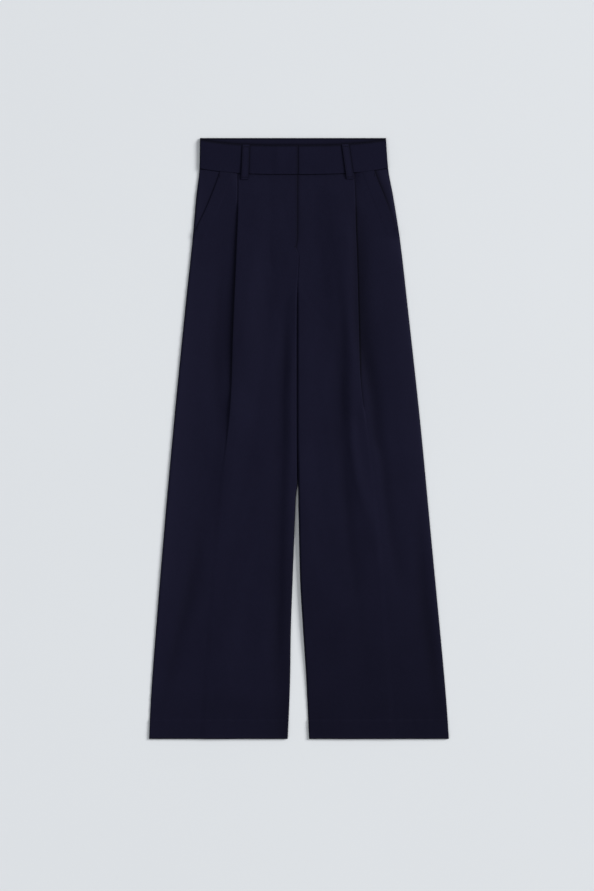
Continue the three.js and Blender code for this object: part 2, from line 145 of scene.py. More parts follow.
def table(columns, *rows):
    """Rows of values under named columns."""
    return [dict(zip(columns.split(), row)) for row in rows]


# Side edges of the garment, as distances from the middle of its box.
SIDE_EDGES = table(
    "drop right left",
    (0, 178.5, 156.5),
    (58, 179.5, 161),
    (104, 185, 169.5),
    (184, 192, 182),
    (292, 203.5, 194.5),
    (508, 225, 218),
    (724, 244.5, 238.5),
    (940, 262, 259),
    (1022, 267.5, 266),
    (LENGTH, 270, 270),
)

# How far each leg's inner edge lies from the centre seam, and where that seam runs.
INNER_EDGES = table(
    "drop right left seam",
    (0, 0.05, 0.05, -2.6),
    (60, 0.05, 0.05, -3),
    (180, 0.05, 0.05, -3.4),
    (197, 0.05, 0.05, -5),
    (212, 0, 0, -0.6),
    (262, 0, 0, -2.6),
    (300, 0, 0, -3.2),
    (540, 0, 0, -3.2),
    (604, 0, 0, -2.2),
    (624, 0.4, 0.1, -2),
    (643, 3.2, 0.4, -2),
    (724, 6.6, 2, -2),
    (805, 9.7, 4.3, -2),
    (886, 12.6, 9.2, -2),
    (967, 13.8, 14.6, -2),
    (1021, 15.5, 17.3, -2),
    (LENGTH, 18.3, 20, -2),
)

# Pleats: the fold's place, how deep the cloth goes back under it, the bends' radius,
# how far the cloth turns at each bend, as a share of half a turn, and the painted shade on the slope beside
# it.
PLEAT_COLUMNS = "drop x depth radius turn shade"
PLEATS = {
    "right": table(
        PLEAT_COLUMNS,
        (52, 109, 26, 0.5, 1, 0),
        (104, 109, 25, 0.52, 1, 0),
        (130, 109.5, 24, 0.8, 1, 0),
        (202, 112.5, 21, 1.05, 1, 0),
        (346, 118.5, 12, 1.15, 1, 0.24),
        (446, 121.5, 4, 0.72, 1, 0.12),
        (502, 125, 1.2, 0.6, 0.55, 0),
        (550, 130, 0.8, 0.6, 0.15, 0),
        (610, 136, 2, 0.9, 0.03, 0),
        (700, 143, 4, 1, 0.015, 0),
        (LENGTH, 170, 6, 1, 0.02, 0),
    ),
    "left": table(
        PLEAT_COLUMNS,
        (52, 98.5, 26, 0.52, 1, 0),
        (104, 100.8, 25, 0.8, 1, 0),
        (150, 101.6, 24, 0.95, 1, 0.1),
        (202, 103.8, 21, 1.05, 1, 0.28),
        (346, 107.5, 11, 1.05, 1, 0.18),
        (420, 109.5, 4, 0.95, 0.98, 0.06),
        (470, 113.5, 1.2, 0.8, 0.68, 0),
        (502, 117, 0.8, 0.75, 0.15, 0),
        (545, 122, 1.5, 0.9, 0.05, 0),
        (680, 136, 4, 1, 0.03, 0),
        (LENGTH, 165, 6, 1, 0.02, 0),
    ),
}

# Soft folds of the fronts, each a row per point that it passes: the drop, its middle in x,
# how far it spreads to -x and to +x, and its height, which is negative for a trough.
FRONT_FOLDS = {
    "valley beside the right inseam": [
        (270, -24, 10, 6, 0), (355, -26.5, 11, 7, -0.8), (440, -30, 14, 7.5, -1.1),
        (560, -31, 18, 8, -1.2), (706, -35, 18, 9, -1.5), (832, -38, 18, 10, -2.0),
        (913, -39, 16, 10, -2.3), (1012, -38, 14, 10, -1.2), (1075, -36, 12, 10, -0.2)],
    "ridge along the right inseam": [
        (330, -12, 7, 4, 0), (400, -13.5, 9, 5, 0.9), (480, -14.5, 13, 5, 1.3), (560, -15, 18, 6, 1.4),
        (660, -18, 20, 7, 1.1), (780, -22, 20, 8, 0.7), (900, -24, 18, 8, 0)],
    "ridge inside the right pleat": [
        (400, -113, 12, 10, 0), (500, -124, 14, 24, 0.8), (560, -130, 15, 28, 1.0),
        (640, -136, 15, 24, 1.0), (720, -142, 14, 20, 0.4), (800, -144, 14, 20, 0)],
    "rise to the right pleat's fold": [
        (120, -104, 12, 34, 0), (180, -107, 13, 36, 0.8), (260, -110, 15, 40, 1.5),
        (350, -112, 19, 42, 2.0), (430, -114, 18, 42, 1.2), (500, -118, 14, 40, 0.4),
        (560, -122, 14, 36, 0)],
    "valley outside the right pleat": [
        (150, -136, 12, 8, 0), (220, -141, 13, 9, -0.4), (310, -147, 15, 11, -1.0),
        (400, -151, 15, 12, -1.2), (500, -146, 14, 11, -0.7), (580, -142, 12, 9, 0)],
    "ridge down the right leg's outer half": [
        (200, -168, 14, 18, 0), (330, -172, 20, 20, 0.3), (520, -178, 24, 24, 0.3), (620, -170, 24, 24, 0)],
    "trough near the right side seam": [
        (640, -176, 12, 16, 0), (720, -182, 13, 16, -0.9), (800, -196, 13, 15, -1.7),
        (870, -211, 12, 14, -1.9), (940, -228, 10, 12, -1.3), (1000, -240, 9, 12, -0.5),
        (1060, -248, 9, 12, 0)],
    "roll down the middle of the right leg": [
        (760, -104, 22, 20, 0), (860, -116, 24, 20, 0.8), (960, -132, 26, 22, 1.2),
        (1050, -142, 26, 22, 0.9), (1082, -146, 26, 22, 0.8)],
    "dip between the fly and the right pleat": [
        (100, -56, 18, 14, 0), (180, -58, 18, 16, -0.2), (280, -62, 20, 18, -0.3), (380, -66, 20, 16, 0)],
    "drag line from the right crotch": [
        (262, -8, 3, 4, 0), (280, -14, 4, 5, -0.15), (300, -24, 5, 6, -0.2), (324, -40, 6, 7, -0.1),
        (345, -56, 6, 7, 0)],
    "ridge along the left inseam": [
        (230, 6, 16, 22, 0), (300, 3, 18, 24, 1.2), (440, 3, 18, 25, 1.6), (600, 6, 16, 24, 1.3),
        (720, 14, 14, 18, 0.6), (820, 22, 12, 14, 0)],
    "valley inside the left pleat": [
        (170, 66, 10, 9, 0), (250, 72, 11, 10, -0.3), (340, 77, 14, 10, -1.0), (440, 75, 17, 9, -1.2),
        (500, 74, 21, 9.5, -1.05), (544, 75, 20, 10, -1.15), (616, 80, 17, 11, -1.4),
        (661, 85, 14, 12, -1.4), (733, 91, 13, 14, -0.9), (832, 104, 14, 18, -0.5), (940, 113, 14, 18, 0)],
    "ridge under the left pleat": [
        (330, 94, 8, 8, 0), (400, 94, 9, 8, 0.5), (470, 94, 9, 9, 1.0), (535, 95, 9, 10, 1.6),
        (580, 99, 9, 12, 1.7), (625, 108, 10, 14, 1.5), (688, 128, 14, 15, 1.1), (760, 146, 16, 15, 0.8),
        (814, 162, 16, 16, 0.5), (900, 180, 16, 16, 0)],
    "valley outside the left pleat": [
        (120, 101, 9, 12, 0), (150, 102, 9, 16, -1.4), (200, 104, 10, 17, -2.3), (280, 106, 12, 18, -2.7),
        (350, 109, 12, 22, -2.9), (420, 124, 12, 17, -2.9), (481, 134, 11, 15, -2.4),
        (544, 140, 10, 14, -2.0), (571, 148, 9, 12, -1.7), (643, 156, 10, 12, -1.4),
        (718, 167, 11, 13, -1.0), (820, 184, 12, 14, 0)],
    "ridge down the left hip": [
        (190, 158, 14, 14, 0), (280, 162, 16, 16, 0.4), (400, 176, 16, 16, 0.7), (520, 188, 15, 16, 0.9),
        (640, 198, 14, 18, 0.7), (760, 204, 16, 18, 0.4), (860, 208, 16, 18, 0)],
    "trough near the left side seam": [
        (640, 210, 14, 8, 0), (715, 217, 16, 9, -1.3), (778, 222, 16, 9, -2.0), (870, 231, 15, 10, -2.5),
        (985, 247, 12, 9, -1.7), (1060, 256, 9, 8, 0)],
    "roll down the left leg": [
        (800, 62, 22, 22, 0), (900, 70, 24, 24, 0.8), (1000, 82, 24, 26, 1.1), (1082, 88, 24, 26, 0.9)],
    "drag line from the left crotch": [
        (258, 4, 4, 3, 0), (276, 10, 5, 4, -0.12), (300, 24, 6, 5, -0.18), (330, 44, 7, 6, -0.1),
        (356, 62, 7, 6, 0)],
}

# Where the cloth of the backs stands a little off the surface, in the same way.
BACK_FOLDS = {
    "lift in the right seat": [
        (90, -60, 22, 26, 0), (180, -66, 26, 30, 0.7), (300, -74, 26, 30, 0.6), (420, -80, 24, 30, 0)],
    "lift in the left seat": [
        (110, 70, 24, 20, 0), (200, 76, 28, 24, 0.6), (330, 84, 28, 24, 0.7), (430, 90, 28, 24, 0)],
    "long lift in the right leg": [
        (420, -120, 14, 18, 0), (600, -128, 16, 20, 0.6), (820, -140, 16, 20, 0.7),
        (1000, -150, 16, 20, 0)],
    "long lift in the left leg": [
        (380, 150, 16, 14, 0), (560, 140, 18, 16, 0.7), (760, 136, 18, 16, 0.6), (960, 150, 18, 16, 0)],
    "fold under the right seat": [
        (268, -30, 5, 7, 0), (282, -52, 6, 8, 0.6), (300, -84, 7, 9, 0.5), (320, -118, 8, 9, 0)],
    "fold under the left seat": [
        (270, 26, 6, 5, 0), (288, 52, 8, 6, 0.6), (306, 82, 9, 7, 0.5), (330, 116, 9, 7, 0)],
}
BACK_LIFT_LIMIT = 0.95

# The gentle unevenness of each piece: its height, its seed, and the range of its waves' lengths.
FRONT_BROAD = {"tall": 0.22, "seed": 7, "across": (60, 130), "along": (160, 520)}
FRONT_FINE = {"tall": 0.05, "seed": 11, "across": (18, 40), "along": (50, 160)}
BACK_BROAD = {"tall": 0.18, "seed": 23, "across": (60, 120), "along": (120, 400)}
BAND_FRONT_BROAD = {"tall": 0.1, "seed": 31, "across": (40, 90), "along": (60, 140)}
BAND_BACK_BROAD = {"tall": 0.12, "seed": 41, "across": (50, 110), "along": (60, 140)}

# Puckers along a seam, as waves down it, and the waves that cross seams draw into the cloth.
PUCKERS = [{"length": 21, "share": 1, "shift": 1}, {"length": 13.3, "share": 0.6, "shift": 2.3}]
PUCKER_REACH = 7
PUCKER_FADE = 20
WAIST_WAVE = {"tall": 0.12, "length": 17, "shift": 1, "reach": 9}
HEM_WAVE = {"tall": 0.16, "length": 19, "shift": 0, "reach": 10}
BAND_WAVE = {"tall": 0.1, "length": 15, "shift": 0, "reach": 5}
HEM_GROOVE = {"deep": 0.28, "reach": 1.6}

# How the fronts swell, and how their swelling dies away at the side, at the inseam and at the hem.
PUFF = 5.3
FOLD_DEPTH = 1.9
SIDE_FADE = 140
SIDE_SHARE = 0.3
SIDE_ROLL = 5
HEM_SHARE = 0.12
SEAM_SHARE = 0.62
SEAM_SHARE_TO = 540
SEAM_SHARE_FADE = 80
INNER_ROLL = 2.8
FLAT_RIM = 1.2
SPLIT_FROM = 248
SPLIT_TO = 310
SEAM_FADE = 40

SIDES = [{"name": "right", "sign": -1}, {"name": "left", "sign": 1}]


# Curves.

def mix(a, b, t):
    return a + (b - a) * t


def smooth(t):
    t = np.clip(t, 0, 1)
    return t * t * (3 - 2 * t)


def rise(value, start, length):
    """0 up to the start, then smoothly up to 1 over the length."""
    return smooth((value - start) / length)


def near(distance, reach):
    """1 at no distance or less, dying away with a reach."""
    return np.exp(-np.maximum(distance, 0) / reach)


def bell(distance, reach):
    return np.exp(-((distance / reach) ** 2))


def rolled(distance, radius, least=0.0):
    """The share of its height that a round edge has at a distance from that edge."""
    t = np.clip(distance / radius, 0, 1)
    return np.sqrt(np.maximum(1 - (1 - t) ** 2, least))


def curve_through(drops, values, at):
    """A smooth curve through (drop, value) points, read at one drop or an array of them."""
    drops, values = np.asarray(drops, float), np.asarray(values, float)
    slopes = np.gradient(values, drops)
    slopes[1:-1] = (values[2:] - values[:-2]) / (drops[2:] - drops[:-2])
    k = np.clip(np.searchsorted(drops, at) - 1, 0, len(drops) - 2)
    span = drops[k + 1] - drops[k]
    t = np.clip((at - drops[k]) / span, 0, 1)
    t2, t3 = t * t, t * t * t
    return (
        (2 * t3 - 3 * t2 + 1) * values[k] + (t3 - 2 * t2 + t) * span * slopes[k]
        + (3 * t2 - 2 * t3) * values[k + 1] + (t3 - t2) * span * slopes[k + 1]
    )


def read(rows, column, at):
    return curve_through([row["drop"] for row in rows], [row[column] for row in rows], at)


# Where the garment's edges and layers lie.

def band_top(x):
    """The drop of the front waistband's dipping top edge."""
    t = np.clip(np.abs(np.asarray(x, float) - BAND_MIDDLE_X) / BAND_HALF_WIDTH, 0, 1)
    return BAND_TOP_AT_SIDE + BAND_DIP * (1 - t ** 3)


def band_seam(x):
    return band_top(x) + BAND_HEIGHT


SEAM_AT_SIDE = BAND_TOP_AT_SIDE + BAND_HEIGHT
PANEL_TOP = SEAM_AT_SIDE - TUCK


def drop_at(x, side_drop):
    """How far down a row of a front lies at x, since its rows bend up to follow the waistband."""
    share = (LENGTH - side_drop) / (LENGTH - PANEL_TOP)
    return LENGTH - share * (LENGTH - band_seam(x) + TUCK)


def levels(drop):
    """Cloth thickness, and the heights of the middles of the back and of the front."""
    thick = mix(CLOTH, HEM_THICK, rise(drop, HEM_LINE - 2, HEM_STEP))
    back = thick / 2 + SEAT_LIFT * (1 - rise(drop, PANEL_TOP, SEAT_LIFT_LENGTH))
    air = mix(AIR, HEM_AIR, rise(drop, HEM_LOWERS_FROM, HEM_LINE - HEM_LOWERS_FROM))
    return thick, back, back + thick + air


def curl_radius(drop):
    """The radius that lets the edges of front and back turn towards each other and not meet."""
    _, back, front = levels(drop)
    return min(CURL_RADIUS, (front - back - LAYER_GAP) / 2)


def side_edge(side, drop):
    return read(SIDE_EDGES, side["name"], drop)


def inner_edge(side, drop):
    return side["sign"] * read(INNER_EDGES, "seam", drop) + read(INNER_EDGES, side["name"], drop)


def seat_edge(side, drop):
    """The inner edge of a back: as the front's, but with no jog where the fly ends."""
    as_front = rise(drop, CROTCH_FROM, CROTCH_TO - CROTCH_FROM)
    seam = mix(SEAT_SEAM_X, read(INNER_EDGES, "seam", drop), as_front)
    return side["sign"] * seam + read(INNER_EDGES, side["name"], drop)


def pocket_share(drop):
    """How far down the pocket's opening a drop lies."""
    return np.clip((drop - SEAM_AT_SIDE) / (POCKET_END - SEAM_AT_SIDE), 0, 1)


def pocket_edge(side, drop):
    t = pocket_share(drop)
    pocket = POCKETS[side["name"]]
    return side_edge(side, drop) - pocket["width"] * (1 - t) - pocket["bow"] * np.sin(np.pi * t)


# The cloth's relief.

def folds_at(folds, x, drop):
    """The summed height of a table's soft folds at points of the cloth."""
    height = np.zeros_like(x)
    for rows in folds.values():
        drops, middles, spread_right, spread_left, heights = np.array(rows, float).T
        inside = (drop > drops[0]) & (drop < drops[-1])
        if not inside.any():
            continue
        away = x - curve_through(drops, middles, drop)
        right, left = (curve_through(drops, spread, drop) for spread in (spread_right, spread_left))
        tall = curve_through(drops, heights, drop) * inside
        height = height + tall * bell(away, np.where(away < 0, right, left))
    return height


def unevenness(x, drop, waves, count=22):
    """A gentle unevenness, longer down the leg than across it."""
    rng = np.random.default_rng(waves["seed"])
    total = np.zeros_like(x)
    for _ in range(count):
        kx = 2 * np.pi / rng.uniform(*waves["across"]) * rng.choice([-1, 1])
        kd = 2 * np.pi / rng.uniform(*waves["along"])
        total = total + np.sin(kx * x + kd * drop + rng.uniform(0, 2 * np.pi))
    return waves["tall"] * total / math.sqrt(count / 2)


def puckers(distance, drop, start, tall=0.2):
    """Small puckers that a seam's stitches draw into the cloth beside it."""
    waves = sum(p["share"] * np.sin(2 * np.pi * drop / p["length"] + p["shift"] * start) for p in PUCKERS)
    return tall * waves * near(np.abs(distance), PUCKER_REACH)


def cross_wave(wave, x, distance):
    """The waves that a seam across the cloth draws into it."""
    along = np.sin(2 * np.pi * x / wave["length"] + wave["shift"])
    return wave["tall"] * along * near(np.abs(distance), wave["reach"])


def front_swelling(side, out, drop):
    """The share of its full height that a front has, which is less towards its edges and its hem."""
    inner, outer = inner_edge(side, drop), side_edge(side, drop)
    together = SEAM_SHARE * (1 - rise(drop, SEAM_SHARE_TO, SEAM_SHARE_FADE))
    at_inseam = mix(together, 1, rolled(out - inner - FLAT_RIM, INNER_ROLL))
    inside = mix(1, at_inseam, rise(drop, SPLIT_FROM, SPLIT_TO - SPLIT_FROM))
    to_side = outer - out
    outside = mix(SIDE_SHARE, 1, smooth(to_side / SIDE_FADE)) * rolled(to_side - FLAT_RIM, SIDE_ROLL)
    to_hem = mix(1, HEM_SHARE, rise(drop, HEM_LOWERS_FROM, LENGTH - HEM_LOWERS_FROM))
    return inside * outside * to_hem


def front_relief(side, out, drop):
    """Height of the fronts' swelling, folds, puckers and hem groove above the flat cloth."""
    x = side["sign"] * out
    height = PUFF + FOLD_DEPTH * folds_at(FRONT_FOLDS, x, drop)
    height = height + unevenness(x, drop, FRONT_BROAD) + unevenness(x, drop, FRONT_FINE)
    from_seam = drop - band_seam(x)
    height = np.maximum(0, height) * front_swelling(side, out, drop) * smooth(from_seam / SEAM_FADE)
    to_side, to_inner = side_edge(side, drop) - out, out - inner_edge(side, drop)
    height = height + puckers(to_side, drop, 1.7) * rise(drop, POCKET_END, PUCKER_FADE)
    height = height + puckers(to_inner, drop, 4.1, tall=0.14) * rise(drop, FLY_TO, PUCKER_FADE)
    height = height + cross_wave(WAIST_WAVE, x, from_seam) + cross_wave(HEM_WAVE, x, drop - HEM_LINE)
    return height - HEM_GROOVE["deep"] * bell(drop - HEM_LINE, HEM_GROOVE["reach"])


def seam_lift(side, out, drop):
    """How much the front rises to meet the waistband, which is less towards the side seam."""
    lift = FRONT_SEAM_LIFT * (1 - rise(drop, band_seam(side["sign"] * out), FRONT_SEAM_LIFT_LENGTH))
    return lift * smooth((side_edge(side, drop) - out) / SIDE_LIFT_FADE)


def between_loops(x):
    """1 between the front belt loops, fading beyond them, where the waistband's seam is pressed flatter."""
    return near(np.abs(x - LOOPS_MIDDLE_X) - LOOPS_HALF_SPAN, LOOPS_FADE)


def shown(x, drop):
    """0 on the seam allowance under the waistband, rising to 1 at the seam."""
    return rise(drop, band_seam(x) - HIDDEN_FROM, HIDDEN_FADE)


def tuck(x, drop):
    """How far a front sinks at the waistband's seam, and goes down under the waistband."""
    deep = mix(TUCK_BEYOND_LOOPS, TUCK_BETWEEN_LOOPS, between_loops(x))
    beside_seam = deep * (1 - rise(drop, band_seam(x) - 1, TUCK_FADE))
    return mix(HIDDEN_TUCK, beside_seam, shown(x, drop))


def curl(share, radius, count=6, least_share=0.004, opening=1.2):
    """A cloth edge that turns down by a share of a quarter turn: steps out and down from the flat."""
    angle = max(share, least_share) * math.pi / 2
    bend = radius * math.pi / 2 * (1 + opening * (1 - share) ** 2) / angle
    turned = angle * np.arange(1, count + 1) / count
    return bend * np.sin(turned), bend * (1 - np.cos(turned))


PLEAT_TURN_STEPS = 9


def pleat_fold(depth, radius, turn, middle_steps=6):
    """The pleat in section: over its edge, back under itself and out again, or a soft step once opened."""
    angle = math.pi * turn
    bend = radius / turn
    t = angle * np.arange(PLEAT_TURN_STEPS + 1) / PLEAT_TURN_STEPS
    first = np.stack([bend * np.sin(t), -bend * (1 - np.cos(t))], 1)
    edge = first[-1]
    along = depth * np.arange(1, middle_steps)[:, None] / middle_steps
    heading = np.array([math.cos(angle), -math.sin(angle)])
    middle = edge + along * heading
    end = 2 * edge + depth * heading
    return np.vstack([first, middle, end - first[::-1]])


# Walls of cloth.

SHARP_EDGE = 50
TINY = 1e-9


def smooth_over(obj, degrees):
    """Shades a piece smooth, except over edges sharper than this."""
    bpy.ops.object.select_all(action="DESELECT")
    obj.select_set(True)
    bpy.context.view_layer.objects.active = obj
    bpy.ops.object.shade_smooth_by_angle(angle=math.radians(degrees))
    obj.select_set(False)


def unit(vectors):
    return vectors / np.maximum(np.linalg.norm(vectors, axis=-1, keepdims=True), TINY)


def wall_normals(points):
    """The directions that a grid of points faces, from the steps on both sides of each point."""
    def headings(axis):
        step = unit(np.diff(points, axis=axis))
        first, last = np.take(step, [0], axis), np.take(step, [-1], axis)
        return np.concatenate([first, step], axis) + np.concatenate([step, last], axis)

    return unit(np.cross(headings(1), headings(0)))


def wall_faces(m, n, verts):
    """Faces of a wall with m rows of n points on both sides, closed at its four edges, pointing out."""
    index = np.arange(m * n).reshape(m, n)
    other = index + m * n
    quads = np.concatenate([
        np.stack([index[:-1, :-1], index[:-1, 1:], index[1:, 1:], index[1:, :-1]], -1).reshape(-1, 4),
        np.stack([other[:-1, :-1], other[1:, :-1], other[1:, 1:], other[:-1, 1:]], -1).reshape(-1, 4),
        np.stack([index[0, :-1], other[0, :-1], other[0, 1:], index[0, 1:]], -1),
        np.stack([index[-1, :-1], index[-1, 1:], other[-1, 1:], other[-1, :-1]], -1),
        np.stack([index[:-1, 0], index[1:, 0], other[1:, 0], other[:-1, 0]], -1),
        np.stack([index[:-1, -1], other[:-1, -1], other[1:, -1], index[1:, -1]], -1),
    ])
    a, b, c, d = (verts[quads[:, k]] for k in range(4))
    volume = sum(np.einsum("ij,ij->i", a, np.cross(p, q)).sum() for p, q in ((b, c), (c, d)))
    return quads if volume > 0 else quads[:, ::-1]


def cloth_coordinates(points):
    """Distances across and down the cloth itself, in metres, for each point of a wall's grid."""
    m, n = points.shape[:2]
    run = np.linalg.norm(np.diff(points, axis=1), axis=2)
    across = np.concatenate([np.zeros((m, 1)), np.cumsum(run, 1)], 1) + points[:, :1, 0]
    fall = np.linalg.norm(np.diff(points, axis=0), axis=2).mean(1)
    down = np.broadcast_to(np.concatenate([[0], np.cumsum(fall)])[:, None], (m, n))
    return np.stack([across, down], -1).reshape(-1, 2) * MM


def add_marks(mesh, label, shape, faces):
    """A point attribute for both faces of a wall."""
    shares = [np.clip(np.broadcast_to(face, shape), 0, 1).ravel() for face in faces]
    mark = mesh.attributes.new(label, "FLOAT", "POINT")
    mark.data.foreach_set("value", np.concatenate(shares).astype(np.float32))


def wall(name, rows, painted_shade_below=None):
    """A closed wall of cloth through rows of points down its middle, with UVs along the cloth.
    A row gives its points, their thickness, a mask of pressed edges, which lowers their roughness and carries
    a painted highlight, and a mask of painted shade in the depths of seams and folds. The face below has the
    same painted shade, unless it is given its own."""
    points, thick, press_and_painted_highlight, painted_shade = (np.array([row[k] for row in rows], float) for k in range(4))
    normal = wall_normals(points)
    half = normal * thick[..., None] / 2
    verts = np.concatenate([(points + half).reshape(-1, 3), (points - half).reshape(-1, 3)])
    m, n = points.shape[:2]

    mesh = bpy.data.meshes.new(name)
    mesh.from_pydata((verts * MM).tolist(), [], wall_faces(m, n, verts).tolist())
    corner = np.zeros(len(mesh.loops), np.int32)
    mesh.loops.foreach_get("vertex_index", corner)
    uv = np.concatenate([cloth_coordinates(points)] * 2)
    mesh.uv_layers.new(name="cloth").data.foreach_set("uv", uv[corner].ravel())
    faces = [painted_shade, painted_shade if painted_shade_below is None else np.array(painted_shade_below)]
    if normal[..., 2].mean() < 0:
        faces.reverse()
    add_marks(mesh, "press_and_painted_highlight", (m, n), (press_and_painted_highlight, press_and_painted_highlight))
    add_marks(mesh, "painted_shade", (m, n), faces)
    mesh.update()
    obj = bpy.data.objects.new(name, mesh)
    bpy.context.collection.objects.link(obj)
    smooth_over(obj, SHARP_EDGE)
    return obj


def place_row(x, drop, z):
    """A row's points from its x, drops and heights, any of which may be the same all along."""
    x, drop, z = np.broadcast_arrays(x, drop, z)
    return np.stack([x, LENGTH / 2 - drop, z], 1).astype(float)


def dress(obj, material, slot, *nodes):
    """Gives a piece its material, and puts it in place of its plain solids."""
    obj.data.materials.clear()
    obj.data.materials.append(material)
    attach(obj, "root")
    if nodes:
        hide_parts(*nodes)
    return obj


FOLDED_LEAST = 0.02
HAIR = 0.02


def folded(distance, radius):
    """The share of its thickness that a folded cloth edge has at a distance from that edge."""
    return rolled(distance + HAIR, radius, FOLDED_LEAST)


def rows_between(*stretches):
    """Drops down a panel: stretches of (from, to, step)."""
    parts = [np.linspace(a, b, max(2, round((b - a) / step) + 1))[:-1] for a, b, step in stretches]
    return np.concatenate(parts + [[stretches[-1][1]]])


# How close the rows are to each other down a panel, and how far the closer ones go.
FINE_STEP = 1
CLOSE_STEP = 2.6
LEG_STEP = 5.5
HEM_LINE_STEP = 0.8
FINE_ROWS = 12
CLOSE_ROWS_TO = 280
NEAR_HEM = 6
LAST_ROW = LENGTH - 1.6
HEM_ROWS = LENGTH - np.array([1.2, 0.8, 0.5, 0.25, 0.08, 0.0])

# The fronts.

# How much painted shade each front's lower leg, hem and inseam get, and how much painted highlight its lower
# side seam gets.
FRONT_SHADES = {
    "right": {"lower_leg": 0.08, "hem": 0.13, "inseam": 0.4, "side_painted_highlight": 1},
    "left": {"lower_leg": 0.28, "hem": 0.07, "inseam": 0, "side_painted_highlight": 0},
}
ROLL_STEPS = np.array([1, 0.98, 0.94, 0.87, 0.77, 0.62, 0.42, 0.2])
FLY_POINTS = 7
TOP_POINTS = 44
FLY_RIM = 0.3
FLY_LAP_CLEAR = 3

# Past the pleat, a knee is where the front steps up to lie over the hip piece.
KNEE_STEPS = np.array([0.7, 1.5, 2.4, 3.5])
KNEE_POINTS = 8
OUTER_FROM_KNEE = 5
OUTER_POINTS = 26
LIFT_FADE = 12
LEAST_REACH = 4
FLAT_REACH = 2.2
EDGE_FADE = 20
GAPE_FROM = 8
# How much painted highlight the side seam loses down the leg, and how the painted shade under the pleat and
# along the fly line grows and fades.
HIGHLIGHT_LOST = 0.7
FULL_DARK_BEND = 1.1
PLEAT_DARKER = 1.1
PLEAT_OPEN_LIGHTER = 0.75
FLY_LINE_LOST = 0.92

# Where marks change down the leg, each as the drop where the change begins and its length.
DOWN_LEG = SimpleNamespace(
    side_highlight_ends=(500, 300), lower_highlight_starts=(150, 160), lower_highlight_ends=(760, 160),
    pleat_darkens=(104, 30), pleat_lightens=(380, 60), pleat_opens=(400, 120),
    leg_shade_grows=(620, 420), hem_shade_grows=(985, 45), inseam_shade_grows=(640, 140))

# How far each mark reaches from its seam, edge or fold.
REACH = SimpleNamespace(
    side_painted_highlight=13, lower_side_painted_highlight=42, flat_pleat=1.8, hem_painted_highlight=3, hem_line_painted_highlight=1.5, under_fold=1.5,
    slope=14, waist=1.6, side_line=1.1, hem_shade=1.9, inseam=20, pocket_edge=1)


def front_plan(side, side_drop):
    """Where a row of a front has its edges, its pleat and its pocket, and how far each turns in."""
    plan = SimpleNamespace(side=side, side_drop=side_drop, left=side["name"] == "left")
    plan.thick, _, plan.level = levels(side_drop)
    radius = curl_radius(side_drop)
    centre_drop = float(drop_at(CENTRE_X, side_drop))
    plan.fly = 1 - float(rise(centre_drop, FLY_FROM, FLY_TO - FLY_FROM))
    plan.lap = 0 if plan.left else 1 - float(rise(centre_drop, FLY_TO, CROTCH_FROM - FLY_TO))
    edge_turn = FLY_EDGE_TURN * (1 - plan.fly) if plan.left else FLY_EDGE_TURN
    seam_turn = max(float(rise(centre_drop, CROTCH_FROM, CROTCH_TO - CROTCH_FROM)), edge_turn)
    plan.inner = float(inner_edge(side, centre_drop))
    plan.inner_steps, plan.inner_down = curl(seam_turn, radius)
    extension = FLY_WIDTH * plan.fly if plan.left else 0
    half = plan.thick / 2
    turned_in = plan.inner_steps[-1] + half * math.sin(seam_turn * math.pi / 2)
    plan.inner_start = plan.inner - extension + turned_in

    plan.closed = float(np.clip((side_drop - POCKET_END + 2) / POCKET_CLOSE, 0, 1))
    plan.outer = float(pocket_edge(side, side_drop))
    plan.outer_steps, plan.outer_down = curl(plan.closed, radius)
    plan.outer_start = plan.outer - plan.outer_steps[-1] - half * math.sin(plan.closed * math.pi / 2)
    plan.hip_start = plan.outer - POCKET_LAP - 2

    plan.fold, depth, plan.bend, turn, plan.shade = (
        float(read(PLEATS[side["name"]], column, side_drop)) for column in PLEAT_COLUMNS.split()[1:])
    plan.turn = min(max(turn, PLEAT_LEAST_TURN), 1)
    plan.pleat = pleat_fold(max(depth, PLEAT_LEAST_DEPTH), plan.bend, plan.turn)
    plan.stack = -plan.pleat[-1, 1]
    plan.fold_start = plan.fold - plan.bend
    plan.fold_end = plan.fold_start + plan.pleat[-1, 0]
    plan.knee = max(plan.fold + plan.bend + 0.5, plan.fold_end + 3)
    flattened = 1 - float(rise(side_drop, FLAT_PLEAT_FROM, FLAT_PLEAT_FADE))
    plan.pressed_flat = 0 if plan.left else flattened
    return plan


def front_top(plan):
    """A front's row from its inner edge to the pleat's fold: places, heights, shares of the waist's lift."""
    rim = plan.inner_start + (FLY_RIM if plan.left else 0)
    roll_end = max(plan.inner + FLAT_RIM, rim) + INNER_ROLL
    to_fold_edge = np.linspace(roll_end, plan.fold_start, TOP_POINTS)[:-1]
    out = np.concatenate([roll_end - INNER_ROLL * ROLL_STEPS, to_fold_edge])
    if plan.left:
        out = np.concatenate([np.linspace(plan.inner_start, out[0], FLY_POINTS)[:-1], out])
    ramp_end = min(plan.fold_start, plan.fold_end) - 2
    to_fold = plan.stack * rise(out, ramp_end - PLEAT_RAMP, PLEAT_RAMP)
    beyond_fly = rise(out, plan.inner + FLY_WIDTH + FLY_LAP_CLEAR, FLY_LAP_FADE)
    over_fly = FLY_LAP * plan.lap * (1 - beyond_fly)
    lifted = 1 - to_fold / max(plan.stack, 0.01)
    return out, np.maximum(to_fold, over_fly), lifted


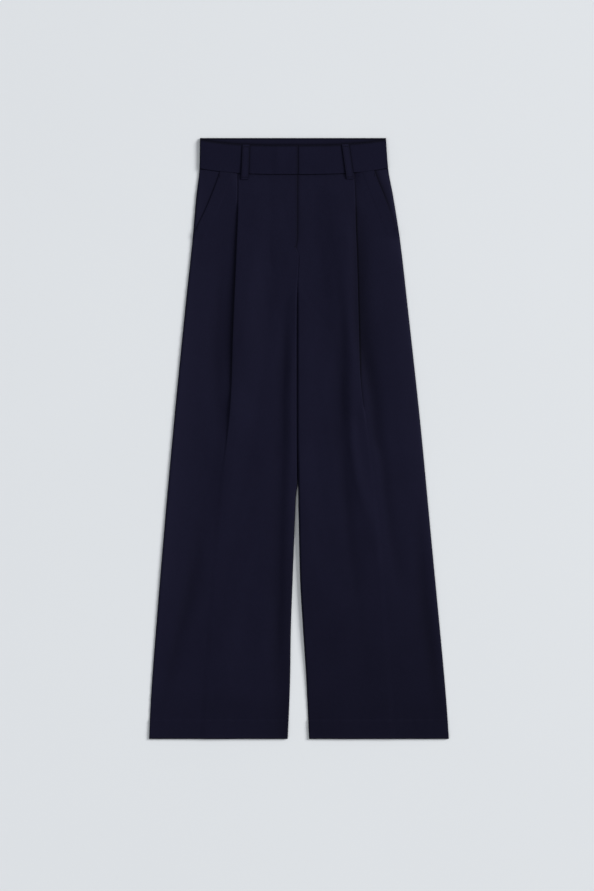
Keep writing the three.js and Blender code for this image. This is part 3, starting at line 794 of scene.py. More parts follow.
def front_beyond_pleat(plan):
    """The same from the pleat to the outer edge, with the step over the hip piece."""
    side_drop, knee = plan.side_drop, plan.knee
    out = np.concatenate([
        np.linspace(plan.fold_end, knee, KNEE_POINTS)[1:], knee + KNEE_STEPS,
        np.linspace(knee + OUTER_FROM_KNEE, plan.outer_start - SIDE_ROLL, OUTER_POINTS),
        plan.outer_start - SIDE_ROLL * (1 - ROLL_STEPS[::-1])])
    reach = mix(max(plan.hip_start - knee, LEAST_REACH), FLAT_REACH, plan.pressed_flat)
    settled = 1 - float(rise(side_drop, POCKET_END - POCKET_CLOSE, POCKET_SETTLE))
    to_edge = mix(1, smooth((plan.outer_start - out) / EDGE_FADE), plan.closed)
    height = POCKET_STEP * settled * rise(out, knee, reach) * to_edge
    along_opening = math.sin(math.pi * pocket_share(side_drop))
    gape = POCKETS[plan.side["name"]]["gape"] * (1 - plan.closed) * along_opening
    height = height + gape * rise(out, plan.hip_start - GAPE_FROM, EDGE_FADE)
    return out, height, rise(out, knee, LIFT_FADE)


def front_press_and_painted_highlight(plan, out, drop):
    """Pressed edges, which carry a painted highlight: the side seam, the flattened pleat and the hem."""
    to_side = plan.outer - out
    down_leg = 1 - HIGHLIGHT_LOST * rise(drop, *DOWN_LEG.side_highlight_ends)
    lower_side = rise(drop, *DOWN_LEG.lower_highlight_starts)
    lower_side = lower_side * (1 - HIGHLIGHT_LOST * rise(drop, *DOWN_LEG.lower_highlight_ends))
    return np.maximum.reduce([
        plan.closed * near(to_side, REACH.side_painted_highlight) * down_leg,
        FRONT_SHADES[plan.side["name"]]["side_painted_highlight"] * near(to_side, REACH.lower_side_painted_highlight) * lower_side,
        plan.pressed_flat * near(np.abs(out - plan.fold - 0.6), REACH.flat_pleat),
        near(LENGTH - drop, REACH.hem_painted_highlight),
        0.1 * near(np.abs(drop - HEM_LINE), REACH.hem_line_painted_highlight),
    ])


def pleat_painted_shade(plan, past_fold, under_fold):
    """The painted shade beneath the pleat's fold, and on the slope beside it."""
    side_drop = plan.side_drop
    if plan.left:
        darker = rise(side_drop, *DOWN_LEG.pleat_darkens) * (1 - rise(side_drop, *DOWN_LEG.pleat_lightens))
        dark = 1 + PLEAT_DARKER * float(darker)
    else:
        dark = min(1, plan.bend / FULL_DARK_BEND)
    dark = dark * (1 - PLEAT_OPEN_LIGHTER * float(rise(side_drop, *DOWN_LEG.pleat_opens)))
    beneath = under_fold * rise(plan.turn, 0.25, 0.5) * (1 - plan.pressed_flat)
    fold_shade = beneath * np.minimum(1, dark * near(past_fold, REACH.under_fold * (1 + plan.bend)))
    return fold_shade, under_fold * plan.shade * near(past_fold, REACH.slope)


def centre_painted_shade(plan, out):
    """The painted shade along the centre seam, which fades below the fly."""
    if plan.left:
        line = np.minimum(1, 1.6 * near(out - plan.inner, mix(0.9, 1.8, plan.fly)))
        line = np.where(out > plan.inner - 2, line, 0)
    else:
        line = near(out - plan.inner, 1.2)
    return line * (1 - FLY_LINE_LOST * (1 - plan.fly))


def front_painted_shade(plan, x, out, drop, under_fold):
    """The painted shade on a front: at its seams, edges and folds, in its troughs and down its lower leg."""
    shades = FRONT_SHADES[plan.side["name"]]
    fold_shade, slope_shade = pleat_painted_shade(plan, out - plan.fold, under_fold)
    at_waist = mix(0.2, 0.95, between_loops(x)) * near(drop - band_seam(x), REACH.waist)
    side_line = 0.7 * near(plan.outer - out, REACH.side_line) * plan.closed
    rim = np.maximum(side_line, bell(LENGTH - drop, REACH.hem_shade))
    painted_hollow_shade = 0.12 * np.maximum(0, -folds_at(FRONT_FOLDS, x, drop))
    painted_leg_shade = shades["lower_leg"] * rise(drop, *DOWN_LEG.leg_shade_grows)
    painted_leg_shade = painted_leg_shade + shades["hem"] * rise(drop, *DOWN_LEG.hem_shade_grows)
    inseam = shades["inseam"] * rise(drop, *DOWN_LEG.inseam_shade_grows) * near(out - plan.inner, REACH.inseam)
    edge_shade = POCKETS[plan.side["name"]]["edge_shade"] * (1 - plan.closed)
    mouth = edge_shade * near(plan.outer - out, REACH.pocket_edge)
    return np.maximum.reduce([
        fold_shade, centre_painted_shade(plan, out), at_waist, rim, painted_hollow_shade + painted_leg_shade + slope_shade,
        inseam + painted_leg_shade, mouth])


def front_row(side, side_drop):
    """One row of a front: its points, their thickness, its pressed edges, which carry a painted highlight,
    and its painted shade.
    """
    plan = front_plan(side, side_drop)
    top, top_height, top_lifted = front_top(plan)
    beyond, beyond_height, beyond_lifted = front_beyond_pleat(plan)
    out = np.concatenate([
        plan.inner_start - plan.inner_steps[::-1], top, plan.fold_start + plan.pleat[:, 0], beyond,
        plan.outer_start + plan.outer_steps])
    lifted = np.concatenate([
        np.ones(len(plan.inner_steps)), top_lifted, np.zeros(len(plan.pleat)), beyond_lifted,
        np.ones(len(plan.outer_steps))])
    height = np.concatenate([
        FLY_LAP * plan.lap - plan.inner_down[::-1], top_height, plan.stack + plan.pleat[:, 1], beyond_height,
        beyond_height[-1] - plan.outer_down])

    x = side["sign"] * out
    drop = drop_at(x, side_drop)
    seen = shown(x, drop)
    z = plan.level + height + front_relief(side, out, drop) - tuck(x, drop)
    z = z + seen * lifted * seam_lift(side, out, drop)
    open_edge = 1 - plan.closed
    doubled = open_edge * POCKET_EDGE_EXTRA * rise(out, plan.outer - POCKET_EDGE_WIDTH, 1.5) * seen
    thick = (plan.thick + doubled) * folded(LENGTH - drop, HEM_THICK / 2)
    thick = thick * mix(1, folded(plan.outer - out, 0.8), open_edge)
    first_under = len(plan.inner_steps) + len(top) + PLEAT_TURN_STEPS
    under_fold = np.arange(len(out)) >= first_under
    painted_shade = front_painted_shade(plan, x, out, drop, under_fold)
    return place_row(x, drop, z), thick, front_press_and_painted_highlight(plan, out, drop), painted_shade


def front_leg(side):
    drops = rows_between(
        (PANEL_TOP, PANEL_TOP + FINE_ROWS, FINE_STEP), (PANEL_TOP + FINE_ROWS, CLOSE_ROWS_TO, CLOSE_STEP),
        (CLOSE_ROWS_TO, HEM_LINE - NEAR_HEM, LEG_STEP),
        (HEM_LINE - NEAR_HEM, HEM_LINE + NEAR_HEM, HEM_LINE_STEP),
        (HEM_LINE + NEAR_HEM, LAST_ROW, CLOSE_STEP))
    rows = [front_row(side, drop) for drop in np.concatenate([drops, HEM_ROWS])]
    return wall(f"front_leg_{side['name']}_cloth", rows)


# The backs.

BACK_SEAM_TURN = 0.7
BACK_POINTS = {"inside": 16, "outside": 28}
BACK_STEP = 5
BACK_LEG_STEP = 9
BACK_HEM_STEP = 4
BACK_HIP_ROWS_TO = 180
BACK_SEAT_ROWS_TO = 330
BACK_EDGE_FADE = 14
BACK_WAIST_FADE = 30
BACK_HEM_FADE = 60
BACK_HEM_RIDGE = {"tall": 0.2, "reach": 1.6}
DART_END_FADE = 20
DART_TOP_FADE = 34
DART_RIDGE = 0.8
DART_STEPS = np.array([-3, -1.4, -0.7, -0.3, 0, 0.3, 0.7, 1.4, 3])


def back_row(side, drop):
    """One row of a back: it lies on the surface, and its edges turn up to the seams."""
    thick, back_level, _ = levels(drop)
    radius = curl_radius(drop)
    seam_turn = max(float(rise(drop, CROTCH_FROM, CROTCH_TO - CROTCH_FROM)), BACK_SEAM_TURN)
    inner_steps, inner_up = curl(seam_turn, radius)
    outer_steps, outer_up = curl(1, radius)
    start = float(seat_edge(side, drop)) + inner_steps[-1] + thick / 2 * math.sin(seam_turn * math.pi / 2)
    end = float(side_edge(side, drop)) - outer_steps[-1] - thick / 2
    dart = DART_X[side["name"]] - DART_LEAN * min(1, (drop - PANEL_TOP) / DART_LENGTH)
    near_dart = dart + DART_STEPS
    flat = np.concatenate([
        np.linspace(start, near_dart[0], BACK_POINTS["inside"])[:-1], near_dart,
        np.linspace(near_dart[-1], end, BACK_POINTS["outside"])[1:]])
    out = np.concatenate([start - inner_steps[::-1], flat, end + outer_steps])
    up = np.concatenate([inner_up[::-1], np.zeros(len(flat)), outer_up])

    x = side["sign"] * out
    down = np.full_like(x, drop)
    edges = rise(out, start - 2, BACK_EDGE_FADE) * rise(end - out, -2, BACK_EDGE_FADE)
    ends = rise(drop, PANEL_TOP + 10, BACK_WAIST_FADE) * smooth((LENGTH - drop) / BACK_HEM_FADE)
    lift = folds_at(BACK_FOLDS, x, down) + unevenness(x, down, BACK_BROAD)
    lift = np.maximum(0, lift) * edges * ends
    dart_left = 1 - rise(drop, PANEL_TOP + DART_LENGTH - DART_END_FADE, DART_END_FADE)
    dart_tall = DART_LIFT * dart_left * rise(drop, PANEL_TOP, DART_TOP_FADE)
    lift = lift + dart_tall * bell(out - dart, DART_RIDGE)
    lift = lift + BACK_HEM_RIDGE["tall"] * bell(down - HEM_LINE, BACK_HEM_RIDGE["reach"]) * edges
    z = back_level + up + np.minimum(lift, BACK_LIFT_LIMIT)
    # Painted highlight along the pressed edges, the hem and the dart, and painted shade in the dart and at
    # the inner seam.
    press_and_painted_highlight = np.maximum.reduce([
        near(end - out, 2), near(out - start, 2), near(LENGTH - down, REACH.hem_painted_highlight),
        0.6 * near(np.abs(down - HEM_LINE), REACH.hem_line_painted_highlight), dart_left * near(np.abs(out - dart), 1.5)])
    painted_shade = np.maximum(dart_left * near(np.abs(out - dart), 0.7), near(out - start, 0.9))
    return place_row(x, drop, z), thick * folded(LENGTH - down, HEM_THICK / 2), press_and_painted_highlight, painted_shade


def back_leg(side):
    drops = rows_between(
        (SEAM_AT_SIDE + 0.2, BACK_HIP_ROWS_TO, BACK_STEP), (BACK_HIP_ROWS_TO, BACK_SEAT_ROWS_TO, BACK_STEP),
        (BACK_SEAT_ROWS_TO, HEM_LINE - NEAR_HEM, BACK_LEG_STEP),
        (HEM_LINE - NEAR_HEM, HEM_LINE + NEAR_HEM, HEM_LINE_STEP),
        (HEM_LINE + NEAR_HEM, LAST_ROW, BACK_HEM_STEP))
    rows = [back_row(side, drop) for drop in np.concatenate([drops, HEM_ROWS])]
    return wall(f"back_leg_{side['name']}_cloth", rows)


# The pockets.

HIP_POINTS = 26
HIP_STEP = 2
HIP_BELOW_OPENING = 0.3


def hip_row(side, side_drop):
    """One row of a hip piece, from under the front's pocket edge to the side seam."""
    thick, _, front_level = levels(side_drop)
    outer_steps, outer_down = curl(1, curl_radius(side_drop))
    mouth_edge = float(pocket_edge(side, side_drop))
    edge = float(side_edge(side, side_drop))
    end = edge - outer_steps[-1] - thick / 2
    flat = np.linspace(mouth_edge - POCKET_LAP, end, HIP_POINTS)
    out = np.concatenate([flat, end + outer_steps])
    down = np.concatenate([np.zeros(len(flat)), outer_down])
    x = side["sign"] * out
    drop = drop_at(x, side_drop)
    knee = float(read(PLEATS[side["name"]], "x", side_drop)) + 1.5
    lift = seam_lift(side, out, drop) * rise(out, knee, LIFT_FADE) * shown(x, drop)
    z = front_level - down + front_relief(side, out, drop) + lift - tuck(x, drop)
    z = z + puckers(edge - out, drop, 2.2, tall=0.16)
    # Painted shade inside the pocket's opening, along the side seam and at the waistband's seam, and a
    # painted highlight beside the side seam.
    pocket = POCKETS[side["name"]]
    inside = pocket["inside"] * mix(0.5, 0.15, rise(side_drop, 95, 50))
    painted_shade = np.maximum.reduce([
        inside * near(out - mouth_edge, pocket["inside_reach"]), 0.7 * near(edge - out, REACH.side_line),
        0.3 * near(drop - band_seam(x), 1.4)])
    return place_row(x, drop, z), np.full(len(out), thick), near(edge - out, 9), painted_shade


def pocket_hip(side):
    """The hip piece that shows in the pocket's opening and carries on to the side seam."""
    drops = rows_between(
        (PANEL_TOP, PANEL_TOP + FINE_ROWS, FINE_STEP),
        (PANEL_TOP + FINE_ROWS, POCKET_END + HIP_BELOW_OPENING, HIP_STEP))
    return wall(f"pocket_hip_{side['name']}_cloth", [hip_row(side, drop) for drop in drops])


# The waistband.

BAND_EDGE = np.array([0.0, 0.12, 0.35, 0.65, 1.0])
BAND_ROUND = 0.95
UNDERLAP_STEPS = np.array([1, 0.66, 0.33, 0])
UNDERLAP_DROP = 0.4
BESIDE_LAP = 2
PAST_EDGE = 5
LAP_CLEAR = 3
LAP_FADE = 18
BAND_FRONT_POINTS = 110
BAND_BACK_POINTS = 96
HOOK_DENT = {"x": CENTRE_X, "drop": 49, "wide": 7, "tall": 2.6, "deep": 0.3}
BESIDE_LOOP = {"share": 0.8, "reach": 1.3}


def band_rows(height, steps=16):
    """Distances down a waistband: close together at its folded edges."""
    inside = np.linspace(BAND_EDGE[-1], height - BAND_EDGE[-1], steps)[1:-1]
    return np.concatenate([BAND_EDGE, inside, height - BAND_EDGE[::-1]])


def beside_loops(x, middles):
    """The painted shade on the waistband under and beside its loops."""
    away = np.min([np.abs(x - middle) for middle in middles], 0)
    return BESIDE_LOOP["share"] * near(away - LOOP_WIDTH / 2, BESIDE_LOOP["reach"])


def waistband_front_row(side, down):
    """One row of a front waistband: the left one has the underlap, and the right one rises over it."""
    left = side["name"] == "left"
    centre = side["sign"] * CENTRE_X
    inner = centre + 0.1
    outer_steps, outer_down = curl(1, BAND_CURL)
    edge = float(side_edge(side, BAND_TOP_AT_SIDE + down))
    end = edge - outer_steps[-1] - BAND_THICK / 2
    flat = np.concatenate([
        inner + (BESIDE_LAP if left else 0) + BAND_EDGE,
        np.linspace(inner + PAST_EDGE, end, BAND_FRONT_POINTS)])
    underlap = centre - UNDERLAP * UNDERLAP_STEPS if left else np.zeros(0)
    out = np.concatenate([underlap, flat, end + outer_steps])
    fall = np.concatenate([np.full(len(underlap), UNDERLAP_DROP), np.zeros(len(flat)), outer_down])
    over_underlap = 1 - rise(out, inner + UNDERLAP + LAP_CLEAR, LAP_FADE)
    lap = 0 if left else (UNDERLAP_THICK + 0.3) * over_underlap

    x = side["sign"] * out
    drop = band_top(x) + down
    to_side = smooth((edge - out) / 16)
    crown = BAND_CROWN * (1 - (2 * down / BAND_HEIGHT - 1) ** 2)
    z = BAND_FRONT_LEVEL + lap - fall + unevenness(x, drop, BAND_FRONT_BROAD)
    z = z + (crown + cross_wave(BAND_WAVE, x, BAND_HEIGHT - down)) * to_side
    dent = HOOK_DENT
    z = z - dent["deep"] * bell(x - dent["x"], dent["wide"]) * bell(drop - dent["drop"], dent["tall"])
    from_edge = min(down, BAND_HEIGHT - down)
    thick = np.full(len(out), BAND_THICK * folded(from_edge, BAND_ROUND))
    if left:
        thick = np.where(out <= centre, UNDERLAP_THICK * folded(from_edge, 0.5), thick)
    else:
        thick = thick * folded(out - inner, BAND_ROUND)
    loops = [mix(loop["top"], loop["foot"], down / LOOP_LENGTH) for loop in FRONT_LOOPS]
    # Painted shade along the centre overlap, beside the loops, at the top edge and along the side seam, and a
    # painted highlight along the folded edges.
    painted_shade = np.maximum.reduce([
        near(np.abs(out - inner), 1.8 if left else 0.9), beside_loops(x, loops),
        np.full(len(out), bell(down, 1.8)), 0.7 * near(edge - out, REACH.side_line)])
    return place_row(x, drop, z), thick, np.full(len(out), 0.3 * near(from_edge, 1.6)), painted_shade


def waistband_front(side):
    rows = [waistband_front_row(side, down) for down in band_rows(BAND_HEIGHT)]
    return wall(f"waistband_front_{side['name']}_cloth", rows)


def waistband_back_row(down):
    """One row of the back waistband, whose inner face shows where the front's top edge dips."""
    outer_steps, outer_up = curl(1, BAND_CURL)
    right, left = (float(side_edge(side, down)) - outer_steps[-1] - BAND_THICK / 2 for side in SIDES)
    flat = np.linspace(-right, left, BAND_BACK_POINTS)
    x = np.concatenate([-right - outer_steps[::-1], flat, left + outer_steps])
    z = BAND_BACK_LEVEL + np.concatenate([outer_up[::-1], np.zeros(len(flat)), outer_up])
    edges = rise(x, 2 - right, 12) * rise(left - 2 - x, 0, 12)
    z = z + np.abs(unevenness(x, np.full_like(x, down), BAND_BACK_BROAD)) * edges
    from_edge = min(down, SEAM_AT_SIDE - down)
    thick = np.full(len(x), BAND_THICK * folded(from_edge, BAND_ROUND))
    # Painted shade on the back waistband, strongest on the strip of its inner face that shows above the
    # front, and a painted highlight along its folded edges.
    behind_front = 0.9 * rise(down - band_top(x), -7, 8)
    painted_shade = np.maximum(max(0.12, bell(down, 1.8)), behind_front)
    return place_row(x, down, z), thick, np.full(len(x), near(from_edge, 1.6)), painted_shade


def waistband_back():
    drops = band_rows(SEAM_AT_SIDE)
    rows = [waistband_back_row(down) for down in drops]
    loops = [loop["x"] for loop in BACK_LOOPS]
    # Painted shade on the underside beside the back loops and along the seam.
    below = [
        np.maximum(beside_loops(row[0][:, 0], loops), near(SEAM_AT_SIDE - down, 1.2))
        for row, down in zip(rows, drops)]
    return wall("waistband_back_cloth", rows, below)


# The belt loops.

LOOP_HALF_STEPS = np.array([1.3, 2.6, 3.4, 3.9, 4.4, 4.9, 5.3, 5.7, 5.9, 6]) * LOOP_WIDTH / 12
LOOP_STITCH_DENT = 0.28
# A loop's painted highlight down its middle, and its painted shade along the stitching and at its edges.
LOOP_SHADES = {"middle_painted_highlight": 0.45, "stitched": 0.15, "edge": 0.9}


def loop_strip(name, line):
    """A belt loop's folded strip, thick along its two stitched edges and rounded at them."""
    sides = np.concatenate([-LOOP_HALF_STEPS[::-1], [0], LOOP_HALF_STEPS])
    scaled = sides * 12 / LOOP_WIDTH
    stitched = bell(np.abs(scaled) - LOOP_STITCH, 0.45)
    thick = (LOOP_THICK - LOOP_STITCH_DENT * stitched) * folded(LOOP_WIDTH / 2 - np.abs(scaled), 0.6)
    # Painted highlight down the middle, painted shade along the stitching and at the edges.
    press_and_painted_highlight = LOOP_SHADES["middle_painted_highlight"] * bell(scaled, 4)
    edge = LOOP_SHADES["edge"] * near(6 - np.abs(scaled), 0.4)
    painted_shade = np.maximum(LOOP_SHADES["stitched"] * stitched, edge)
    return wall(name, [(place_row(x + sides, drop, z), thick, press_and_painted_highlight, painted_shade) for x, drop, z in line])


def front_loop_line(loop):
    """The middle line of a front loop, as (x, drop, z): bowed up between its two sewn ends."""
    start = float(band_top(loop["top"])) + 0.5
    surface = BAND_FRONT_LEVEL + BAND_THICK / 2 + BAND_CROWN + LOOP_THICK / 2
    line = []
    for t in np.concatenate([[0, 0.004, 0.012], np.linspace(0.03, 0.97, 34), [0.988, 0.996, 1]]):
        from_end = min(t, 1 - t) * LOOP_LENGTH
        bow = LOOP_BULGE * math.sin(math.pi * t) ** 0.7
        z = surface + bow + LOOP_RISE * t - 0.3 * math.exp(-from_end / 1.2)
        line.append((mix(loop["top"], loop["foot"], t), start + LOOP_LENGTH * t, z))
    return line


def back_loop_line(loop):
    drops = BACK_LOOP_FROM + BACK_LOOP_LENGTH * np.linspace(0, 1, 24)
    return [(loop["x"], drop, LOOP_THICK / 2) for drop in drops]


# The sewing.

STITCH = {"pitch": 2.6, "radius": 0.17, "fill": 0.86, "up": 0.12}
STITCH_PROFILE = [(0.0, 0.25), (0.18, 0.85), (0.5, 1.0), (0.82, 0.85), (1.0, 0.25)]
STITCH_SIDES = 5
STITCH_START = 0.12
THREAD_SHARP_EDGE = 60


def stitch_bar(a, b, radius, up_height, verts, faces):
    """One short rounded bar of thread from a to b, arched a little."""
    turn = 2 * math.pi / STITCH_SIDES
    ring = [(math.cos(k * turn), math.sin(k * turn)) for k in range(STITCH_SIDES)]
    along = (b - a) / np.linalg.norm(b - a)
    across = unit(np.cross(along, [0, 0, 1]))
    up = np.cross(across, along)
    base = len(verts)
    for t, swell in STITCH_PROFILE:
        centre = a + (b - a) * t + np.array([0, 0, up_height * math.sin(math.pi * t)])
        verts += [centre + radius * swell * (across * c + up * s) for c, s in ring]
    for i in range(len(STITCH_PROFILE) - 1):
        for j in range(STITCH_SIDES):
            p = base + i * STITCH_SIDES + j
            q = base + i * STITCH_SIDES + (j + 1) % STITCH_SIDES
            faces.append((p, p + STITCH_SIDES, q + STITCH_SIDES, q))
    last = base + (len(STITCH_PROFILE) - 1) * STITCH_SIDES
    faces.append(tuple(base + j for j in range(STITCH_SIDES)))
    faces.append(tuple(last + j for j in reversed(range(STITCH_SIDES))))


def stitches(name, seams):
    """Sewing thread along seams, each a list of points on the cloth: one bar per stitch."""
    verts, faces = [], []
    for seam in seams:
        seam = {**STITCH, **seam}
        line = np.asarray(seam["points"], float)
        run = np.concatenate([[0], np.cumsum(np.linalg.norm(np.diff(line, axis=0), axis=1))])
        for k in range(int(run[-1] / seam["pitch"])):
            a, b = (
                np.array([np.interp((k + share) * seam["pitch"], run, line[:, i]) for i in range(3)])
                for share in (STITCH_START, seam["fill"]))
            stitch_bar(a, b, seam["radius"], seam["up"], verts, faces)
    mesh = bpy.data.meshes.new(name)
    mesh.from_pydata((np.array(verts) * MM).tolist(), [], faces)
    mesh.update()
    obj = bpy.data.objects.new(name, mesh)
    bpy.context.collection.objects.link(obj)
    smooth_over(obj, THREAD_SHARP_EDGE)
    return obj


def bartack(x, drop, z, across, along, turns):
    """A dense zigzag of thread that holds an end, as a seam of one long run."""
    points = []
    for k in range(turns + 1):
        t, swing = k / turns - 0.5, 0.5 if k % 2 else -0.5
        y = LENGTH / 2 - drop + across[1] * t + along[1] * swing
        points.append((x + across[0] * t + along[0] * swing, y, z))
    return {"points": points, "pitch": math.dist(points[0], points[1]), "radius": 0.2, "fill": 0.98}


def surface_height(obj, x, drop):
    """The top surface of a piece at a place, in millimetres."""
    hit, where, _, _ = obj.ray_cast((x * MM, (LENGTH / 2 - drop) * MM, 0.05), (0, 0, -1))
    return where.z / MM if hit else None


LOOP_SEAM_ABOVE = 0.56
LOOP_TACK = {"across": (10.4, 0), "along": (0, 1.8), "turns": 20, "above": 0.72}
POCKET_TACK = {"across": 0.6, "down": 5.5, "along": (2.2, 0), "turns": 16, "in": 2.2, "above": 0.1}
FLY_TACK = {"x": -6.5, "drop": 196, "across": (5.5, 0.8), "along": (0, 2.0), "turns": 14, "above": 0.1}
BACK_LOOP_SEAM = {"drops": (3, 51), "z": 0.14}


def loop_seams():
    """The stitches along all belt loops, and the tacks across the ends of the front ones."""
    seams = []
    for loop in FRONT_LOOPS:
        line = front_loop_line(loop)
        for edge in (-LOOP_STITCH, LOOP_STITCH):
            points = [(x + edge, LENGTH / 2 - drop, z + LOOP_SEAM_ABOVE) for x, drop, z in line[3:-3]]
            seams.append({"points": points})
        for x, drop, z in (line[4], line[-5]):
            seams.append(bartack(
                x, drop, z + LOOP_TACK["above"], LOOP_TACK["across"], LOOP_TACK["along"], LOOP_TACK["turns"]))
    for loop in BACK_LOOPS:
        for edge in (-LOOP_STITCH, LOOP_STITCH):
            x, z = loop["x"] + edge, BACK_LOOP_SEAM["z"]
            ends = [(x, LENGTH / 2 - drop, z) for drop in BACK_LOOP_SEAM["drops"]]
            seams.append({"points": ends, "up": 0, "radius": 0.1})
    return seams


def bartack_seams(fronts):
    """The tacks at both ends of the pockets' openings, and at the end of the fly."""
    seams = []
    for side in SIDES:
        for side_drop in (SEAM_AT_SIDE + 9, POCKET_END - POCKET_CLOSE - 3):
            x = side["sign"] * (float(pocket_edge(side, side_drop)) - POCKET_TACK["in"])
            drop = float(drop_at(x, side_drop))
            z = surface_height(fronts[side["name"]], x, drop) + POCKET_TACK["above"]
            across = (side["sign"] * POCKET_TACK["across"], POCKET_TACK["down"])
            seams.append(bartack(x, drop, z, across, POCKET_TACK["along"], POCKET_TACK["turns"]))
    x, drop = FLY_TACK["x"], FLY_TACK["drop"]
    z = surface_height(fronts["right"], x - 0.5, drop) + FLY_TACK["above"]
    seams.append(bartack(x, drop, z, FLY_TACK["across"], FLY_TACK["along"], FLY_TACK["turns"]))
    return seams


HEM_STITCHES = {"from": 30, "to": 262, "step": 7.0, "half": 0.45, "slant": 0.25}


def hem_seams(fronts):
    """The small hand stitches that show along the hems."""
    seams = []
    for side in SIDES:
        for out in np.arange(HEM_STITCHES["from"], HEM_STITCHES["to"], HEM_STITCHES["step"]):
            x = side["sign"] * (out + 0.8 * math.sin(out * 1.7))
            z = surface_height(fronts[side["name"]], x, HEM_LINE)
            if z:
                y, half = LENGTH / 2 - HEM_LINE, HEM_STITCHES["half"]
                ends = [(x - half, y, z + 0.02), (x + half, y + HEM_STITCHES["slant"], z + 0.02)]
                seams.append({"points": ends, "pitch": 2 * half, "radius": 0.12})
    return seams


# Materials.

def node_group(name, inputs, outputs):
    tree = bpy.data.node_groups.new(name, "ShaderNodeTree")
    for label, kind, value in inputs:
        socket = tree.interface.new_socket(label, in_out="INPUT", socket_type=kind)
        if value is not None:
            socket.default_value = value
    for label, kind in outputs:
        tree.interface.new_socket(label, in_out="OUTPUT", socket_type=kind)
    return tree, tree.nodes.new("NodeGroupInput"), tree.nodes.new("NodeGroupOutput")


def feed(tree, socket, value):
    """Gives a socket a value, or links another node's output to it."""
    if isinstance(value, bpy.types.NodeSocket):
        tree.links.new(value, socket)
    else:
        socket.default_value = value


def add_node(tree, kind, **inputs):
    """A new node with some of its inputs fed, named with _ for each space."""
    node = tree.nodes.new(kind)
    for label, value in inputs.items():
        feed(tree, node.inputs[label.replace("_", " ")], value)
    return node


def math_node(tree, operation, *values, clamp=False):
    node = tree.nodes.new("ShaderNodeMath")
    node.operation = operation
    node.use_clamp = clamp
    for socket, value in zip(node.inputs, values):
        feed(tree, socket, value)
    return node.outputs[0]


def blend_colour(tree, how, factor, a, b):
    node = tree.nodes.new("ShaderNodeMix")
    node.data_type = "RGBA"
    node.blend_type = how
    for label, value in (("Factor", factor), ("A", a), ("B", b)):
        feed(tree, node.inputs[label], value)
    return node.outputs["Result"]


def weave_group():
    """A fine twill: warp and weft threads, with the diagonal and the slubs of a spun yarn."""
    tree, given, result = node_group(
        "suiting weave",
        [("Cloth", "NodeSocketVector", None), ("Threads", "NodeSocketFloat", 1400.0),
         ("Slub", "NodeSocketFloat", 0.5)],
        [("Tone", "NodeSocketFloat"), ("Height", "NodeSocketFloat")])
    place = tree.nodes.new("ShaderNodeSeparateXYZ")
    tree.links.new(given.outputs["Cloth"], place.inputs[0])
    turns = math_node(tree, "MULTIPLY", given.outputs["Threads"], 2 * math.pi)
    warp = math_node(tree, "MULTIPLY", place.outputs["X"], turns)
    weft = math_node(tree, "MULTIPLY", place.outputs["Y"], turns)
    diagonal = math_node(tree, "MULTIPLY", math_node(tree, "ADD", warp, weft), 0.5)
    threads = math_node(tree, "ADD", math_node(tree, "SINE", warp), math_node(tree, "SINE", weft))
    ribs = math_node(tree, "MULTIPLY", math_node(tree, "SINE", diagonal), 1.4)
    twill = math_node(tree, "ADD", threads, ribs)
    stretch = tree.nodes.new("ShaderNodeVectorMath")
    stretch.operation = "MULTIPLY"
    stretch.inputs[1].default_value = (900, 160, 1)
    tree.links.new(given.outputs["Cloth"], stretch.inputs[0])
    slub = add_node(tree, "ShaderNodeTexNoise", Scale=1, Detail=3, Vector=stretch.outputs[0])
    centred = math_node(tree, "SUBTRACT", slub.outputs["Fac"], 0.5)
    uneven = math_node(tree, "MULTIPLY", centred, given.outputs["Slub"])
    height = math_node(tree, "ADD", math_node(tree, "MULTIPLY_ADD", twill, 0.15, 0.5), uneven)
    tree.links.new(height, result.inputs["Height"])
    tree.links.new(math_node(tree, "ADD", height, 0.0, clamp=True), result.inputs["Tone"])
    return tree


def handling_group():
    """Broad soft unevenness of pressed cloth, and the little creases of handling."""
    tree, given, result = node_group(
        "cloth handling",
        [("Place", "NodeSocketVector", None), ("Size", "NodeSocketFloat", 9.0)],
        [("Mottle", "NodeSocketFloat"), ("Creases", "NodeSocketFloat")])
    place, size = given.outputs["Place"], given.outputs["Size"]
    broad = add_node(tree, "ShaderNodeTexNoise", Vector=place, Scale=size, Detail=4, Roughness=0.6)
    fine = add_node(
        tree, "ShaderNodeTexNoise", Vector=place, Scale=math_node(tree, "MULTIPLY", size, 7.0),
        Detail=5, Roughness=0.62, Distortion=0.6)
    tree.links.new(broad.outputs["Fac"], result.inputs["Mottle"])
    tree.links.new(fine.outputs["Fac"], result.inputs["Creases"])
    return tree


WEAVE = weave_group()
HANDLING = handling_group()


def new_material(name):
    material = bpy.data.materials.new(name)
    material.use_nodes = True
    tree = material.node_tree
    return material, tree, tree.nodes["Principled BSDF"]


def use_group(tree, group):
    node = tree.nodes.new("ShaderNodeGroup")
    node.node_tree = group
    return node


def mark_value(tree, label):
    node = tree.nodes.new("ShaderNodeAttribute")
    node.attribute_name = label
    return node.outputs["Fac"]


def tinted(colour, *factors):
    """A colour with each channel times its own factor."""
    return (*(channel * factor for channel, factor in zip(colour, factors)), 1)


